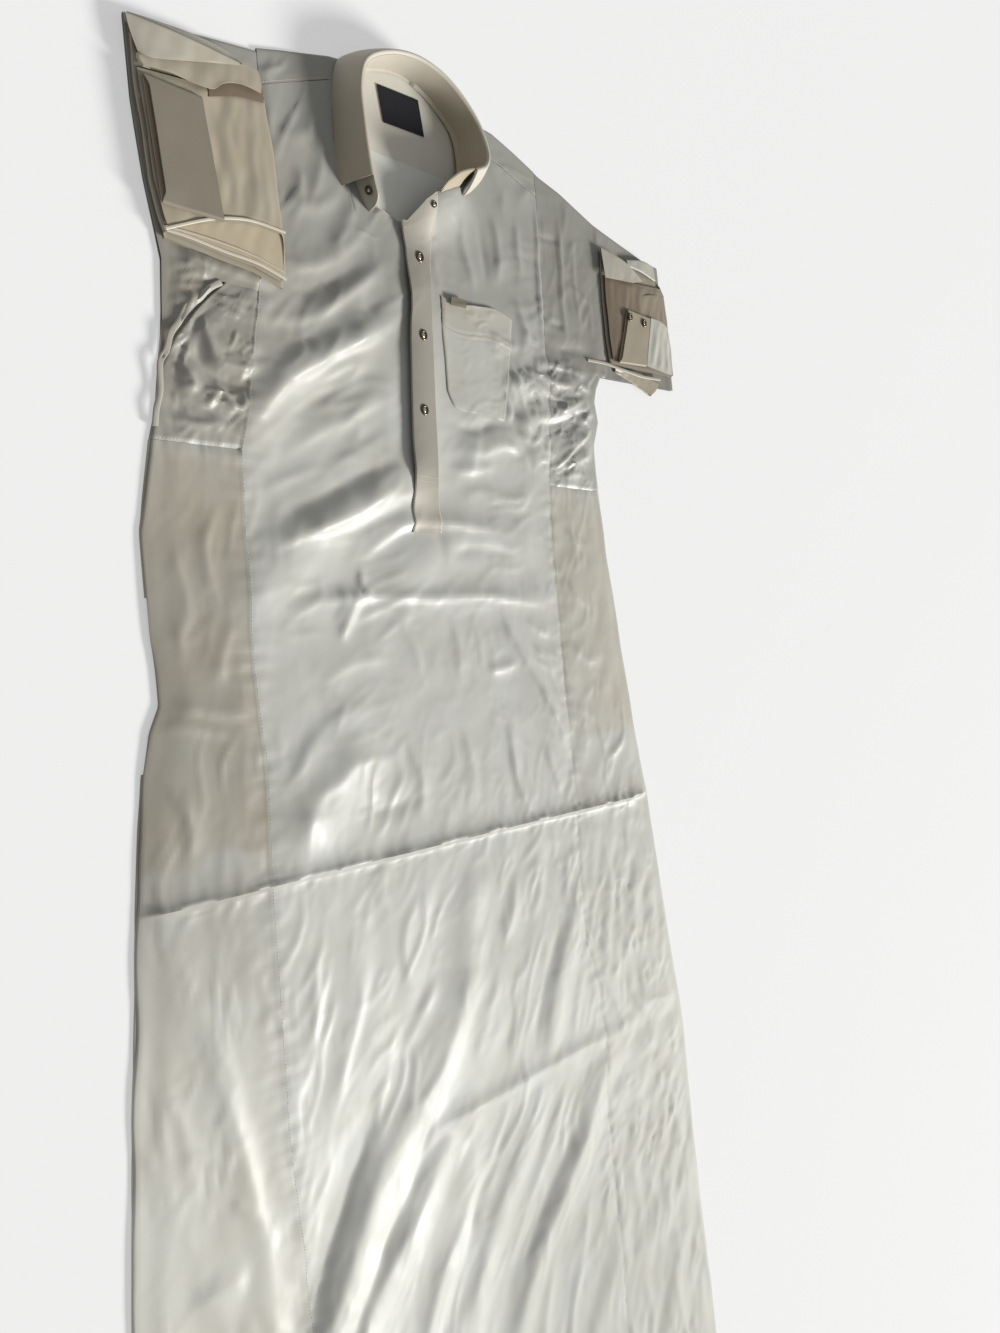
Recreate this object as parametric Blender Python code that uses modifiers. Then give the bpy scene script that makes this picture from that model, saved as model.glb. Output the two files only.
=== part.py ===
"""A thobe: an ankle-length, long-sleeved satin robe with a shirt collar.

It lies on its back on a flat surface, front up, with the neck towards +Y and the sleeves
folded in zigzag runs beside the shoulders. Lengths are metres. In the tables, y is measured
up from the hem and x from the centre line, towards the viewer's right when the front is up;
"left" and "right" in the names follow that view. The origin is on the surface, on the
centre line, half-way up the robe.
"""

import math
from collections import namedtuple

import bmesh
import bpy
from mathutils import Vector

# Driving sizes
WALL = 0.0012  # thickness of one cloth layer
GAP = 0.0003  # clearance between neighbouring pieces
TINY = 1e-6  # points closer than this are one point
LAYER = WALL + GAP  # from the middle of one layer to the middle of the next
ORIGIN_Y = 0.78  # height of the origin above the hem

BACK_Z = WALL / 2  # middle of the back layer
FRONT_Z = BACK_Z + LAYER  # middle of the front layer where it lies flat
FOLD_RADIUS = LAYER / 2  # middle line of the turn from the back layer to the front one

PLACKET_BOTTOM = 1.101
SLIT_BOTTOM = 1.120  # the neck slit ends here, under the placket
UNDER_PLACKET_BOTTOM = 1.150
GORE_TOP = 1.165
GUSSET_TOP = 1.309
YOKE_BACK_SEAM = 1.480
TOP_BLOCK = 1.390  # above this, rows fan out to the neckline and yoke seams

# Outline of the body below the underarm seams
Section = namedtuple("Section", "y left_fold left_seam right_seam right_fold")
BODY = [
    Section(0.000, -0.402, -0.214, 0.257, 0.450),
    Section(0.100, -0.396, -0.212, 0.252, 0.440),
    Section(0.220, -0.389, -0.209, 0.246, 0.426),
    Section(0.310, -0.384, -0.208, 0.240, 0.417),
    Section(0.440, -0.375, -0.212, 0.232, 0.409),
    Section(0.500, -0.371, -0.218, 0.235, 0.401),
    Section(0.560, -0.367, -0.222, 0.230, 0.388),
    Section(0.620, -0.363, -0.222, 0.209, 0.378),
    Section(0.710, -0.355, -0.223, 0.203, 0.361),
    Section(0.780, -0.350, -0.224, 0.205, 0.350),
    Section(0.850, -0.343, -0.222, 0.200, 0.334),
    Section(0.890, -0.338, -0.222, 0.196, 0.326),
    Section(0.925, -0.331, -0.225, 0.194, 0.319),
    Section(0.947, -0.321, -0.227, 0.192, 0.315),
    Section(1.000, -0.324, -0.230, 0.190, 0.306),
    Section(1.090, -0.326, -0.230, 0.184, 0.290),
    Section(1.165, -0.313, -0.229, 0.185, 0.281),
    Section(1.311, -0.290, -0.200, 0.190, 0.300),
    Section(1.312, -0.290, -0.200, 0.190, 0.455),
    Section(1.400, -0.307, -0.193, 0.189, 0.449),
    Section(1.495, -0.313, -0.187, 0.188, 0.430),
    Section(1.560, -0.313, -0.187, 0.188, 0.430),
]

# Underarm gussets: outer edge, against the sleeve seam, at each height
Gusset = namedtuple("Gusset", "y left_outer right_outer")
GUSSETS = [
    Gusset(1.166, -0.3125, 0.281),
    Gusset(1.190, -0.306, 0.279),
    Gusset(1.222, -0.302, 0.277),
    Gusset(1.251, -0.288, 0.287),
    Gusset(1.275, -0.270, 0.282),
    Gusset(1.292, -0.254, 0.287),
    Gusset(1.309, -0.236, 0.297),
]

# Lower edge of each sleeve's first run, at shares of the way from the armhole outwards
Hem = namedtuple("Hem", "share y")
LEFT_HEM = [
    Hem(0.000, 1.3110),
    Hem(0.200, 1.3110),
    Hem(0.400, 1.3110),
    Hem(0.566, 1.2934),
    Hem(0.735, 1.2768),
    Hem(0.915, 1.2533),
    Hem(1.000, 1.2310),
]
RIGHT_HEM = [
    Hem(0.000, 1.3125),
    Hem(0.220, 1.3125),
    Hem(0.430, 1.3125),
    Hem(0.700, 1.3130),
    Hem(1.000, 1.3150),
]
# and the fold at its outer end
End = namedtuple("End", "y left right")
SLEEVE_ENDS = [
    End(1.225, -0.3005, 0.455),
    End(1.260, -0.2950, 0.455),
    End(1.318, -0.2920, 0.455),
    End(1.380, -0.3030, 0.451),
    End(1.440, -0.3100, 0.436),
    End(1.510, -0.3125, 0.428),
]
SLEEVE_BACK = (0, 0.41, 0.85, 1)  # rows, as shares of the way from the lower edge to the fold
SLEEVE_FRONT = (1, 0.85, 0.65, 0.41, 0.30, 0.20, 0.10, 0)

# Fold of the shoulders and sleeve tops, from the left sleeve's tip to the right sleeve's
Point = namedtuple("Point", "x y")
SHOULDER = [
    Point(-0.3125, 1.508),
    Point(-0.260, 1.514),
    Point(-0.187, 1.529),
    Point(-0.105, 1.553),
    Point(-0.080, 1.557),
    Point(0.036, 1.554),
    Point(0.110, 1.555),
    Point(0.133, 1.550),
    Point(0.199, 1.527),
    Point(0.239, 1.519),
    Point(0.311, 1.497),
    Point(0.430, 1.476),
]

# Top of each of the front's columns: yoke seam, neckline, opening, neckline, yoke seam
FRONT_TOP = [
    Point(-0.1865, 1.4960),
    Point(-0.1660, 1.5045),
    Point(-0.1460, 1.5130),
    Point(-0.1250, 1.5215),
    Point(-0.1070, 1.5290),
    Point(-0.0915, 1.5320),
    Point(-0.0870, 1.4550),
    Point(-0.0680, 1.4180),
    Point(-0.0480, 1.4210),
    Point(-0.0300, 1.4160),
    Point(-0.0240, 1.4160),
    Point(-0.0080, 1.4370),
    Point(0.0060, 1.4480),
    Point(0.0260, 1.4580),
    Point(0.0450, 1.4690),
    Point(0.0600, 1.4860),
    Point(0.0685, 1.5210),
    Point(0.0900, 1.5225),
    Point(0.1100, 1.5213),
    Point(0.1310, 1.5165),
    Point(0.1520, 1.5110),
    Point(0.1710, 1.5055),
    Point(0.1875, 1.5005),
]

# Columns of the yoke: on the shoulder fold, and at the front seam where it turns over
Turned = namedtuple("Turned", "x y front_x front_y")
YOKE = [
    Turned(-0.1865, 1.5290, -0.1865, 1.4965),
    Turned(-0.1600, 1.5372, -0.1610, 1.5070),
    Turned(-0.1330, 1.5449, -0.1350, 1.5180),
    Turned(-0.1050, 1.5530, -0.1100, 1.5285),
    Turned(-0.0800, 1.5570, -0.0915, 1.5325),
    Turned(-0.0450, 1.5660, None, None),
    Turned(-0.0150, 1.5720, None, None),
    Turned(0.0120, 1.5670, None, None),
    Turned(0.0360, 1.5540, 0.0685, 1.5215),
    Turned(0.0600, 1.5543, 0.0850, 1.5230),
    Turned(0.0860, 1.5547, 0.1040, 1.5234),
    Turned(0.1200, 1.5527, 0.1290, 1.5176),
    Turned(0.1550, 1.5424, 0.1580, 1.5097),
    Turned(0.1875, 1.5311, 0.1875, 1.5010),
]
YOKE_NECK = (4, 8)  # between these columns is the back neckline
YOKE_BACK = (0, 0.35, 0.7, 1)
YOKE_FRONT = (1, 0.67, 0.34, 0)

# The placket strip and the neck slit under it
Strip = namedtuple("Strip", "y left slit_left slit_right right")
PLACKET = [
    Strip(0.000, -0.036, -0.026, -0.006, 0.004),
    Strip(1.101, -0.0350, -0.0250, -0.0070, 0.0040),
    Strip(1.234, -0.0295, -0.0220, -0.0070, 0.0050),
    Strip(1.327, -0.0250, -0.0190, -0.0060, 0.0065),
    Strip(1.390, -0.0240, -0.0180, -0.0050, 0.0100),
    Strip(1.560, -0.0300, -0.0240, -0.0080, 0.0060),
]

# Folds raised in the front layers: a ridge along a line, its half width and its height
Fold = namedtuple("Fold", "x1 y1 x2 y2 width height")
FOLDS = [
    # breast and belly, rising to the right
    Fold(-0.215, 1.192, -0.172, 1.248, 0.024, 0.008),
    Fold(-0.172, 1.248, -0.084, 1.303, 0.026, 0.010),
    Fold(-0.084, 1.303, -0.040, 1.340, 0.022, 0.007),
    Fold(-0.130, 1.302, -0.050, 1.352, 0.018, 0.004),
    Fold(-0.214, 1.047, -0.151, 1.097, 0.028, 0.009),
    Fold(-0.151, 1.097, -0.046, 1.151, 0.028, 0.010),
    Fold(-0.053, 1.050, -0.012, 1.084, 0.024, 0.005),
    Fold(0.020, 1.092, 0.132, 1.098, 0.022, 0.006),
    Fold(0.060, 1.190, 0.110, 1.205, 0.022, 0.004),
    Fold(-0.200, 1.030, 0.170, 1.034, 0.014, 0.003),
    Fold(-0.178, 0.825, -0.128, 0.866, 0.030, 0.007),
    Fold(0.100, 0.990, 0.185, 0.870, 0.016, 0.003),
    # pressed fold right across the robe
    Fold(-0.340, 0.780, 0.345, 0.780, 0.010, 0.006),
    # skirt, running down to the left
    Fold(0.025, 0.720, 0.005, 0.630, 0.020, 0.006),
    Fold(0.005, 0.630, -0.060, 0.530, 0.022, 0.009),
    Fold(-0.070, 0.520, -0.130, 0.465, 0.024, 0.011),
    Fold(-0.130, 0.465, -0.205, 0.330, 0.026, 0.011),
    Fold(-0.205, 0.330, -0.250, 0.180, 0.026, 0.007),
    Fold(-0.050, 0.489, 0.285, 0.494, 0.016, 0.005),
    Fold(0.194, 0.673, 0.127, 0.510, 0.016, 0.005),
    Fold(-0.033, 0.470, -0.154, 0.335, 0.018, 0.007),
    Fold(-0.154, 0.335, -0.190, 0.200, 0.020, 0.005),
    Fold(0.001, 0.432, -0.110, 0.235, 0.018, 0.005),
    Fold(0.109, 0.470, -0.030, 0.270, 0.018, 0.005),
    Fold(-0.030, 0.270, -0.080, 0.110, 0.020, 0.006),
    Fold(0.237, 0.465, 0.080, 0.277, 0.022, 0.010),
    Fold(0.080, 0.277, 0.010, 0.130, 0.022, 0.008),
    Fold(0.240, 0.230, 0.140, 0.060, 0.022, 0.006),
    # gores
    Fold(-0.300, 0.690, -0.270, 0.566, 0.014, 0.003),
    Fold(-0.270, 0.566, -0.250, 0.391, 0.014, 0.004),
    Fold(-0.310, 0.300, -0.330, 0.120, 0.020, 0.005),
    Fold(-0.300, 0.447, -0.250, 0.470, 0.016, 0.003),
    Fold(0.305, 0.517, 0.370, 0.511, 0.014, 0.003),
    Fold(0.300, 0.480, 0.350, 0.447, 0.014, 0.003),
    Fold(0.350, 0.250, 0.290, 0.205, 0.016, 0.004),
    Fold(0.370, 0.170, 0.330, 0.060, 0.018, 0.005),
    # crumpled cloth under the arms
    Fold(-0.270, 1.262, -0.225, 1.235, 0.014, 0.006),
    Fold(-0.285, 1.220, -0.240, 1.200, 0.014, 0.006),
    Fold(-0.265, 1.190, -0.235, 1.178, 0.012, 0.004),
    Fold(0.130, 1.275, 0.235, 1.290, 0.014, 0.007),
    Fold(0.150, 1.235, 0.255, 1.262, 0.015, 0.008),
    Fold(0.165, 1.200, 0.245, 1.230, 0.014, 0.006),
    Fold(0.225, 1.190, 0.262, 1.222, 0.012, 0.004),
]
# Only on the right of the slit: the stiff placket and band hold this side up
LIFTS = [
    Fold(-0.022, 1.180, -0.014, 1.350, 0.030, 0.0055),
    Fold(0.000, 1.440, 0.030, 1.458, 0.032, 0.0215),
]

CALM_EDGE = 0.03  # folds die out over this distance from the robe's edges
CALM_UNDER_SLEEVES = (1.262, 0.026)  # and beside the sleeves, from this height over this distance
NORMAL_STEP = 0.004  # distance over which the slope of the cloth is measured
SLIT_EASE = 0.05  # the right side comes up over this distance above the slit's end
CREASE_ROWS = (-0.016, -0.007, 0, 0.007, 0.016)  # rows either side of the pressed fold

# Columns of the front's grid, as shares of each side's width
LEFT_COLUMNS = (0, 0.13, 0.26, 0.39, 0.516, 0.613, 0.642, 0.761, 0.88, 1)
RIGHT_COLUMNS = (0, 0.109, 0.212, 0.293, 0.342, 0.45, 0.565, 0.68, 0.79, 0.90, 1)
PLACKET_COLUMNS = (9, 10, 11, 12)  # its left edge, the slit's two edges, its right edge
POCKET_COLUMNS = (13, 19)
POCKET_BOTTOM, POCKET_HEM, POCKET_TOP = 1.238, 1.322, 1.352
HEM_LAYERS = 1.4  # the pocket's turned hem stands this many layers out from the front
CREASE_Y = 0.78
ROWS_TO_CREASE = 21
ROWS_ABOVE_CREASE = (0.826, 0.860, 0.895, 0.928, 0.962, 1.000, 1.035, 1.068)
ROWS_AT_PLACKET = (PLACKET_BOTTOM, SLIT_BOTTOM, UNDER_PLACKET_BOTTOM, GORE_TOP, 1.190, 1.214)
BACK_COLUMNS = 6
BACK_TURN_ROW = 1.43
GORE_FRONT = (1, 0.8, 0.6, 0.4, 0.2, 0)  # columns, as shares of the way from seam to fold
BEND_CELLS = 4
ROWS_AT_POCKET = (POCKET_BOTTOM, 1.262, 1.290, 1.311, POCKET_HEM, POCKET_TOP, 1.372, TOP_BLOCK)
TOP_ROWS = 4

# Side pockets: the mouth is a slit in the side fold, the bag lies between the layers
POCKET_MOUTH = (0.895, 1.035)
BAG = (0.808, 1.050)
BAG_RISE = 0.0014  # of the front layer over the bag
BAG_SLOPE = 0.18  # and the slope down from it, as a share of the gore's width
BAG_SLOPE_Y = 0.035
BAG_SHARE = (0.27, 0.75)  # of the way from the side fold to the front seam
BAG_Z = 0.0020
BAG_WALL = 0.0010
BAG_ROWS = 6

# Collar: neck seam, roll line and outer edge of the fall at places round the neck
Collar = namedtuple("Collar", "seam_x seam_y seam_z roll_x roll_y roll_z edge_x edge_y edge_z")
COLLAR = [
    Collar(-0.0660, 1.4150, 0.0036, -0.0720, 1.4140, 0.0300, -0.0800, 1.4140, 0.0045),
    Collar(-0.0770, 1.4300, 0.0036, -0.0790, 1.4310, 0.0320, -0.0960, 1.4260, 0.0045),
    Collar(-0.0860, 1.4520, 0.0036, -0.0850, 1.4530, 0.0335, -0.1040, 1.4450, 0.0045),
    Collar(-0.0910, 1.4850, 0.0036, -0.0890, 1.4850, 0.0340, -0.1045, 1.4840, 0.0045),
    Collar(-0.0900, 1.5200, 0.0036, -0.0905, 1.5180, 0.0340, -0.1035, 1.5200, 0.0045),
    Collar(-0.0795, 1.5485, 0.0030, -0.0810, 1.5450, 0.0340, -0.0950, 1.5520, 0.0045),
    Collar(-0.0450, 1.5643, 0.0016, -0.0520, 1.5630, 0.0340, -0.0620, 1.5710, 0.0045),
    Collar(-0.0130, 1.5700, 0.0016, -0.0170, 1.5710, 0.0340, -0.0220, 1.5800, 0.0045),
    Collar(0.0150, 1.5637, 0.0016, 0.0160, 1.5670, 0.0340, 0.0160, 1.5770, 0.0045),
    Collar(0.0370, 1.5508, 0.0026, 0.0440, 1.5530, 0.0340, 0.0520, 1.5620, 0.0045),
    Collar(0.0560, 1.5330, 0.0036, 0.0660, 1.5330, 0.0340, 0.0780, 1.5390, 0.0045),
    Collar(0.0622, 1.5100, 0.0040, 0.0770, 1.5090, 0.0345, 0.0900, 1.5120, 0.0045),
    Collar(0.0600, 1.4880, 0.0080, 0.0720, 1.4930, 0.0370, 0.0800, 1.4810, 0.0090),
    Collar(0.0490, 1.4710, 0.0160, 0.0560, 1.4820, 0.0410, 0.0560, 1.4620, 0.0170),
    Collar(0.0300, 1.4595, 0.0250, 0.0350, 1.4720, 0.0450, 0.0400, 1.4540, 0.0250),
    Collar(0.0110, 1.4495, 0.0250, 0.0160, 1.4620, 0.0460, 0.0250, 1.4450, 0.0260),
]
COLLAR_STATIONS = 34
FALL_STATIONS = (3, 30)
STAND_ROWS = (0, 0.3, 0.7, 1)
ROLL_DROP = 0.0020  # of the stand's top edge under the middle of the roll
FALL_ROWS = ((-0.0002, 0.0000), (0.0014, 0.0006), (0.0024, 0.0034))  # outwards, and down
FALL_SHARES = (0.5, 1)  # the rest of the way to the fall's edge
COLLAR_CLEARANCE = 0.0012  # of the collar's lower edges above the cloth under them

# Folded sleeves: one row for each height, with the stack's two edges
Stack = namedtuple("Stack", "y outer inner")
LEFT_STACK = [
    Stack(1.318, -0.292, -0.172),
    Stack(1.345, -0.297, -0.1725),
    Stack(1.380, -0.303, -0.1745),
    Stack(1.420, -0.3085, -0.178),
    Stack(1.455, -0.311, -0.182),
    Stack(1.485, -0.312, -0.1845),
    Stack(1.504, -0.3125, -0.186),
]
RIGHT_STACK = [
    Stack(1.322, 0.456, 0.316),
    Stack(1.345, 0.455, 0.307),
    Stack(1.372, 0.452, 0.3055),
    Stack(1.400, 0.449, 0.305),
    Stack(1.425, 0.444, 0.3045),
    Stack(1.445, 0.434, 0.304),
    Stack(1.462, 0.429, 0.304),
]
STACK_Z = 2 * WALL + 2 * GAP  # underside, on top of the sleeve's first run
RUN_HEIGHT = 0.0026  # of one folded run of sleeve
LEFT_RUNS, RIGHT_RUNS = 4, 3
GROOVE = 0.003  # depth of the groove between two runs
RUN_BULGE = 0.25  # a run is widest from this share of its height to the same below its top
LEFT_ARCH = ((0.2, 0.0003), (0.5, 0.0010), (0.8, 0.0015))  # top, across: share and rise
RIGHT_ARCH = ((0.2, 0.0006), (0.5, 0.0010), (0.8, 0.0004))
LEFT_STACK_TOP = STACK_Z + LEFT_RUNS * RUN_HEIGHT + 0.0015
RIGHT_STACK_TOP = STACK_Z + RIGHT_RUNS * RUN_HEIGHT + 0.0010
LEFT_FLAP_Z = LEFT_CUFF_Z = LEFT_STACK_TOP + GAP + WALL / 2
RIGHT_CUFF_Z = RIGHT_STACK_TOP + GAP + WALL / 2

# Corners of the left sleeve's turned-over corner and of the cuffs, seen from above
LEFT_FLAP = ((-0.306, 1.474), (-0.243, 1.461), (-0.200, 1.478), (-0.206, 1.499), (-0.312, 1.503))
Cuff = namedtuple("Cuff", "open_x1 open_y1 open_x2 open_y2 sewn_x1 sewn_y1 sewn_x2 sewn_y2")
LEFT_CUFF = Cuff(-0.297, 1.366, -0.303, 1.456, -0.242, 1.361, -0.256, 1.454)
RIGHT_CUFF = Cuff(0.318, 1.329, 0.339, 1.398, 0.369, 1.329, 0.389, 1.396)
CUFF_OPEN = 0.0070  # inner height at the wrist
CUFF_SEWN = 0.0012  # and at the seam with the sleeve
CUFF_ROWS = (0, 0.3, 0.6, 1)
CUFF_ARCH = (0, 0.15, 0.3, 0.5, 0.7, 0.85, 1)
CUFF_TURN = (math.pi / 3, 2 * math.pi / 3)

SNAP_RADIUS = 0.0055
SNAP_HEIGHT = 0.0020
SNAP_SIDES = 12
SNAP_CLEARANCE = 0.0009
BAND_SNAP_STATION = 2
BAND_SNAP_HEIGHT = 0.55  # as a share of the band's height
SNAP_TOP = 0.75  # radius of the cap's top, as a share of its foot's
PLACKET_SNAPS = ((0.0005, 1.434), (-0.0065, 1.384), (-0.0100, 1.303), (-0.0140, 1.226))
CUFF_SNAPS = ((0.346, 1.388, 0.0215), (0.374, 1.387, 0.0190))
LABEL = ((-0.039, 1.513), (0.016, 1.516), (0.010, 1.552), (-0.045, 1.549))
TAB = ((0.031, 1.346), (0.047, 1.345), (0.047, 1.352), (0.031, 1.353))

LABEL_Z = 0.0021
TAB_CLEARANCE = 0.0009
LABEL_WALL = 0.0008

Row = namedtuple("Row", "y share")  # share: how far above TOP_BLOCK on the way to the top edge
Step = namedtuple("Step", "part share")  # a place on the way round a folded piece

CLOTH_COLOUR = (0.78, 0.76, 0.70, 1)
SHADE_COLOUR = (0.66, 0.60, 0.52, 1)
LABEL_COLOUR = (0.03, 0.03, 0.035, 1)
METAL_COLOUR = (0.32, 0.30, 0.27, 1)


def blend(table, column, value):
    """The column's value at a place in a table, on straight lines between its rows."""
    keys = [row[0] for row in table]
    vals = [getattr(row, column) for row in table]
    last = len(keys) - 1
    i = max(k for k in range(last) if k == 0 or keys[k] <= value)
    t = min(max((value - keys[i]) / (keys[i + 1] - keys[i]), 0), 1)
    return vals[i] + (vals[i + 1] - vals[i]) * t


def body(name, y):
    """One of the body's lines at a height."""
    return blend(BODY, name, y)


def soft_step(value):
    value = min(max(value, 0), 1)
    return value * value * (3 - 2 * value)


def spread(start, end, count):
    return [start + (end - start) * i / count for i in range(count + 1)]


def ridge(fold, x, y):
    """Height that one fold adds at a place: a soft ridge along its line."""
    along_x, along_y = fold.x2 - fold.x1, fold.y2 - fold.y1
    length = along_x * along_x + along_y * along_y
    t = ((x - fold.x1) * along_x + (y - fold.y1) * along_y) / length
    t = min(max(t, 0), 1)
    away = math.hypot(x - fold.x1 - t * along_x, y - fold.y1 - t * along_y)
    return fold.height * math.exp(-((away / fold.width) ** 2))


def edge_fade(x, y):
    """Folds die out towards the side folds, the shoulder folds and the sleeve stacks."""
    side = min(x - body("left_fold", y), body("right_fold", y) - x)
    top = blend(SHOULDER, "y", x) - y
    beside_left = soft_step((x - LEFT_STACK[0].inner) / CALM_EDGE)
    beside_right = soft_step((RIGHT_STACK[0].inner - CALM_EDGE - x) / CALM_EDGE)
    below = 1 - soft_step((y - CALM_UNDER_SLEEVES[0]) / CALM_UNDER_SLEEVES[1])
    clear = max(min(beside_left, beside_right), below)
    return soft_step(side / CALM_EDGE) * soft_step(top / CALM_EDGE) * clear


def bag_rise(x, y):
    """The side pocket bags lift the gores' front layer."""
    side = "left" if x < 0 else "right"
    fold, seam = body(side + "_fold", y), body(side + "_seam", y)
    share = (x - fold) / (seam - fold)
    across = soft_step(share / BAG_SLOPE) * soft_step((1 - share) / BAG_SLOPE)
    up = soft_step((y - BAG[0]) / BAG_SLOPE_Y + 1.5) * soft_step((BAG[1] - y) / BAG_SLOPE_Y + 1.5)
    return BAG_RISE * across * up


def relief(x, y, lifted=False):
    """How far the front layer rises above lying flat."""
    height = sum(ridge(fold, x, y) for fold in FOLDS) * edge_fade(x, y)
    if lifted:
        rise = sum(ridge(fold, x, y) for fold in LIFTS)
        height += rise * soft_step((y - SLIT_BOTTOM) / SLIT_EASE) * edge_fade(x, y)
    return height + bag_rise(x, y)


def place(x, y, z):
    """A point in the part's own axes from its table values."""
    return Vector((x, y - ORIGIN_Y, z))


def on_front(x, y, lifted=False, layers=0):
    """The middle of the front layer, or of a piece that many layers out from it."""
    step = NORMAL_STEP
    rise_x = relief(x + step, y, lifted) - relief(x - step, y, lifted)
    rise_y = relief(x, y + step, lifted) - relief(x, y - step, lifted)
    out = Vector((-rise_x, -rise_y, 2 * step)).normalized()
    return place(x, y, FRONT_Z + relief(x, y, lifted)) + out * LAYER * layers


def grid(columns, rows, spot, left_out=None):
    """An open sheet whose corner for each column and row is put by spot(column, row)."""
    sheet = bmesh.new()
    across, up = len(columns) - 1, len(rows) - 1
    bmesh.ops.create_grid(sheet, x_segments=across, y_segments=up, size=0.5)
    if left_out:
        cells = [(face, face.calc_center_median()) for face in sheet.faces]
        holes = []
        for face, middle in cells:
            column = columns[int((middle.x + 0.5) * across)]
            row = rows[int((middle.y + 0.5) * up)]
            if left_out(column, row):
                holes.append(face)
        bmesh.ops.delete(sheet, geom=holes, context="FACES")
    for vert in sheet.verts:
        column = columns[round((vert.co.x + 0.5) * across)]
        row = rows[round((vert.co.y + 0.5) * up)]
        vert.co = spot(column, row)
    return sheet


def tube(rows, section, capped):
    """A loft through one closed section for each row; section(row) gives its points."""
    rings = [section(row) for row in rows]
    around = range(len(rings[0]) + 1)
    sheet = grid(around, range(len(rows)), lambda k, i: rings[i][k % len(rings[i])])
    bmesh.ops.remove_doubles(sheet, verts=sheet.verts, dist=TINY)
    if capped:
        bmesh.ops.holes_fill(sheet, edges=sheet.edges)
    return sheet


def new_object(name, mesh, colour, roughness=0.35, metallic=0.0):
    """Puts a bmesh in the scene as a named object with its own material."""
    bmesh.ops.recalc_face_normals(mesh, faces=mesh.faces)
    data = bpy.data.meshes.new(name)
    mesh.to_mesh(data)
    mesh.free()
    data.shade_smooth()
    data.set_sharp_from_angle(angle=math.radians(40))
    material = bpy.data.materials.new(name)
    material.use_nodes = True
    shader = material.node_tree.nodes["Principled BSDF"]
    shader.inputs["Base Color"].default_value = colour
    shader.inputs["Roughness"].default_value = roughness
    shader.inputs["Metallic"].default_value = metallic
    data.materials.append(material)
    piece = bpy.data.objects.new(name, data)
    bpy.data.collections["Thobe"].objects.link(piece)
    return piece


def cloth(name, sheet, colour=CLOTH_COLOUR, thickness=WALL):
    """Gives an open sheet its wall, half on each side."""
    piece = new_object(name, sheet, colour)
    wall = piece.modifiers.new("Wall", "SOLIDIFY")
    wall.thickness = thickness
    wall.offset = 0
    wall.use_even_offset = True
    return piece


def rows_between(low, high):
    """Heights of the body's rows, closer together over the pressed fold."""
    heights = spread(0, CREASE_Y + CREASE_ROWS[0], ROWS_TO_CREASE)
    heights += [CREASE_Y + step for step in CREASE_ROWS[1:]]
    heights += ROWS_ABOVE_CREASE + ROWS_AT_PLACKET + ROWS_AT_POCKET
    return [y for y in heights if low - TINY <= y <= high + TINY]


def front_rows(low=0, high=None):
    """The front's rows from one height to another, or right up to its top edge."""
    rows = [Row(y, 0) for y in rows_between(low, high or TOP_BLOCK)]
    if high is None:
        rows += [Row(TOP_BLOCK, step / TOP_ROWS) for step in range(1, TOP_ROWS + 1)]
    return rows


def front_column(column, y):
    """The x of one of the front's columns, below the neckline."""
    count = len(LEFT_COLUMNS)
    strip = [blend(PLACKET, name, y) for name in Strip._fields[1:]]
    if column < count:
        seam = body("left_seam", y) + GAP / 2
        return seam + (strip[0] - seam) * LEFT_COLUMNS[column]
    if column < count + 2:
        return strip[column - count + 1]
    seam = body("right_seam", y) - GAP / 2
    return strip[3] + (seam - strip[3]) * RIGHT_COLUMNS[column - count - 2]


def front_spot(column, row, lifted, layers=0):
    """A corner of the front's grid, or of a piece that many layers out from it."""
    x, y = front_column(column, row.y), row.y
    x += (FRONT_TOP[column].x - x) * row.share
    y += (FRONT_TOP[column].y - y) * row.share
    return on_front(x, y, lifted, layers)


def make_front_panel():
    slit_left, slit_right = PLACKET_COLUMNS[1:3]

    def spot(column, row):
        return front_spot(column, row, lifted=column >= slit_right)

    def in_slit(column, row):
        return column == slit_left and row.y > SLIT_BOTTOM - GAP

    sheet = grid(range(len(FRONT_TOP)), front_rows(), spot, in_slit)
    cloth("front_panel", sheet)


def make_under_placket():
    slit_left, slit_right = PLACKET_COLUMNS[1:3]

    def spot(column, row):
        inset = GAP if column == slit_left else -GAP
        corner = front_spot(column, row, lifted=False)
        return corner + Vector((inset, 0, 0))

    rows = front_rows(UNDER_PLACKET_BOTTOM, TOP_BLOCK) + front_rows()[-TOP_ROWS:-1]
    cloth("under_placket", grid((slit_left, slit_right), rows, spot), SHADE_COLOUR)


def make_placket():
    def spot(column, row):
        return front_spot(column, row, lifted=True, layers=1)

    rows = [row for row in front_rows() if row.y >= PLACKET_BOTTOM]
    cloth("placket", grid(PLACKET_COLUMNS, rows, spot))


def make_breast_pocket():
    def spot(column, row):
        layers = HEM_LAYERS if row.y > POCKET_HEM else 1
        return front_spot(column, row, lifted=True, layers=layers)

    first, last = POCKET_COLUMNS
    sheet = grid(range(first, last + 1), front_rows(POCKET_BOTTOM, POCKET_TOP), spot)
    cloth("breast_pocket", sheet)


def wrap_steps(back, front):
    """The way round a folded piece: back layer, turn, front layer."""
    steps = [Step("back", share) for share in back]
    steps += [Step("turn", cell / BEND_CELLS) for cell in range(1, BEND_CELLS)]
    return steps + [Step("front", share) for share in front]


def wrap(step, seam, fold):
    """Place along the sheet and height of one step, on a piece from seam to fold and back."""
    inwards = math.copysign(FOLD_RADIUS, seam - fold)
    if step.part == "turn":
        angle = math.pi * step.share
        height = BACK_Z + LAYER * (1 - math.cos(angle)) / 2
        return fold + inwards * (1 - math.sin(angle)), height
    along = seam + (fold + inwards - seam) * step.share
    return along, BACK_Z if step.part == "back" else FRONT_Z


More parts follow.
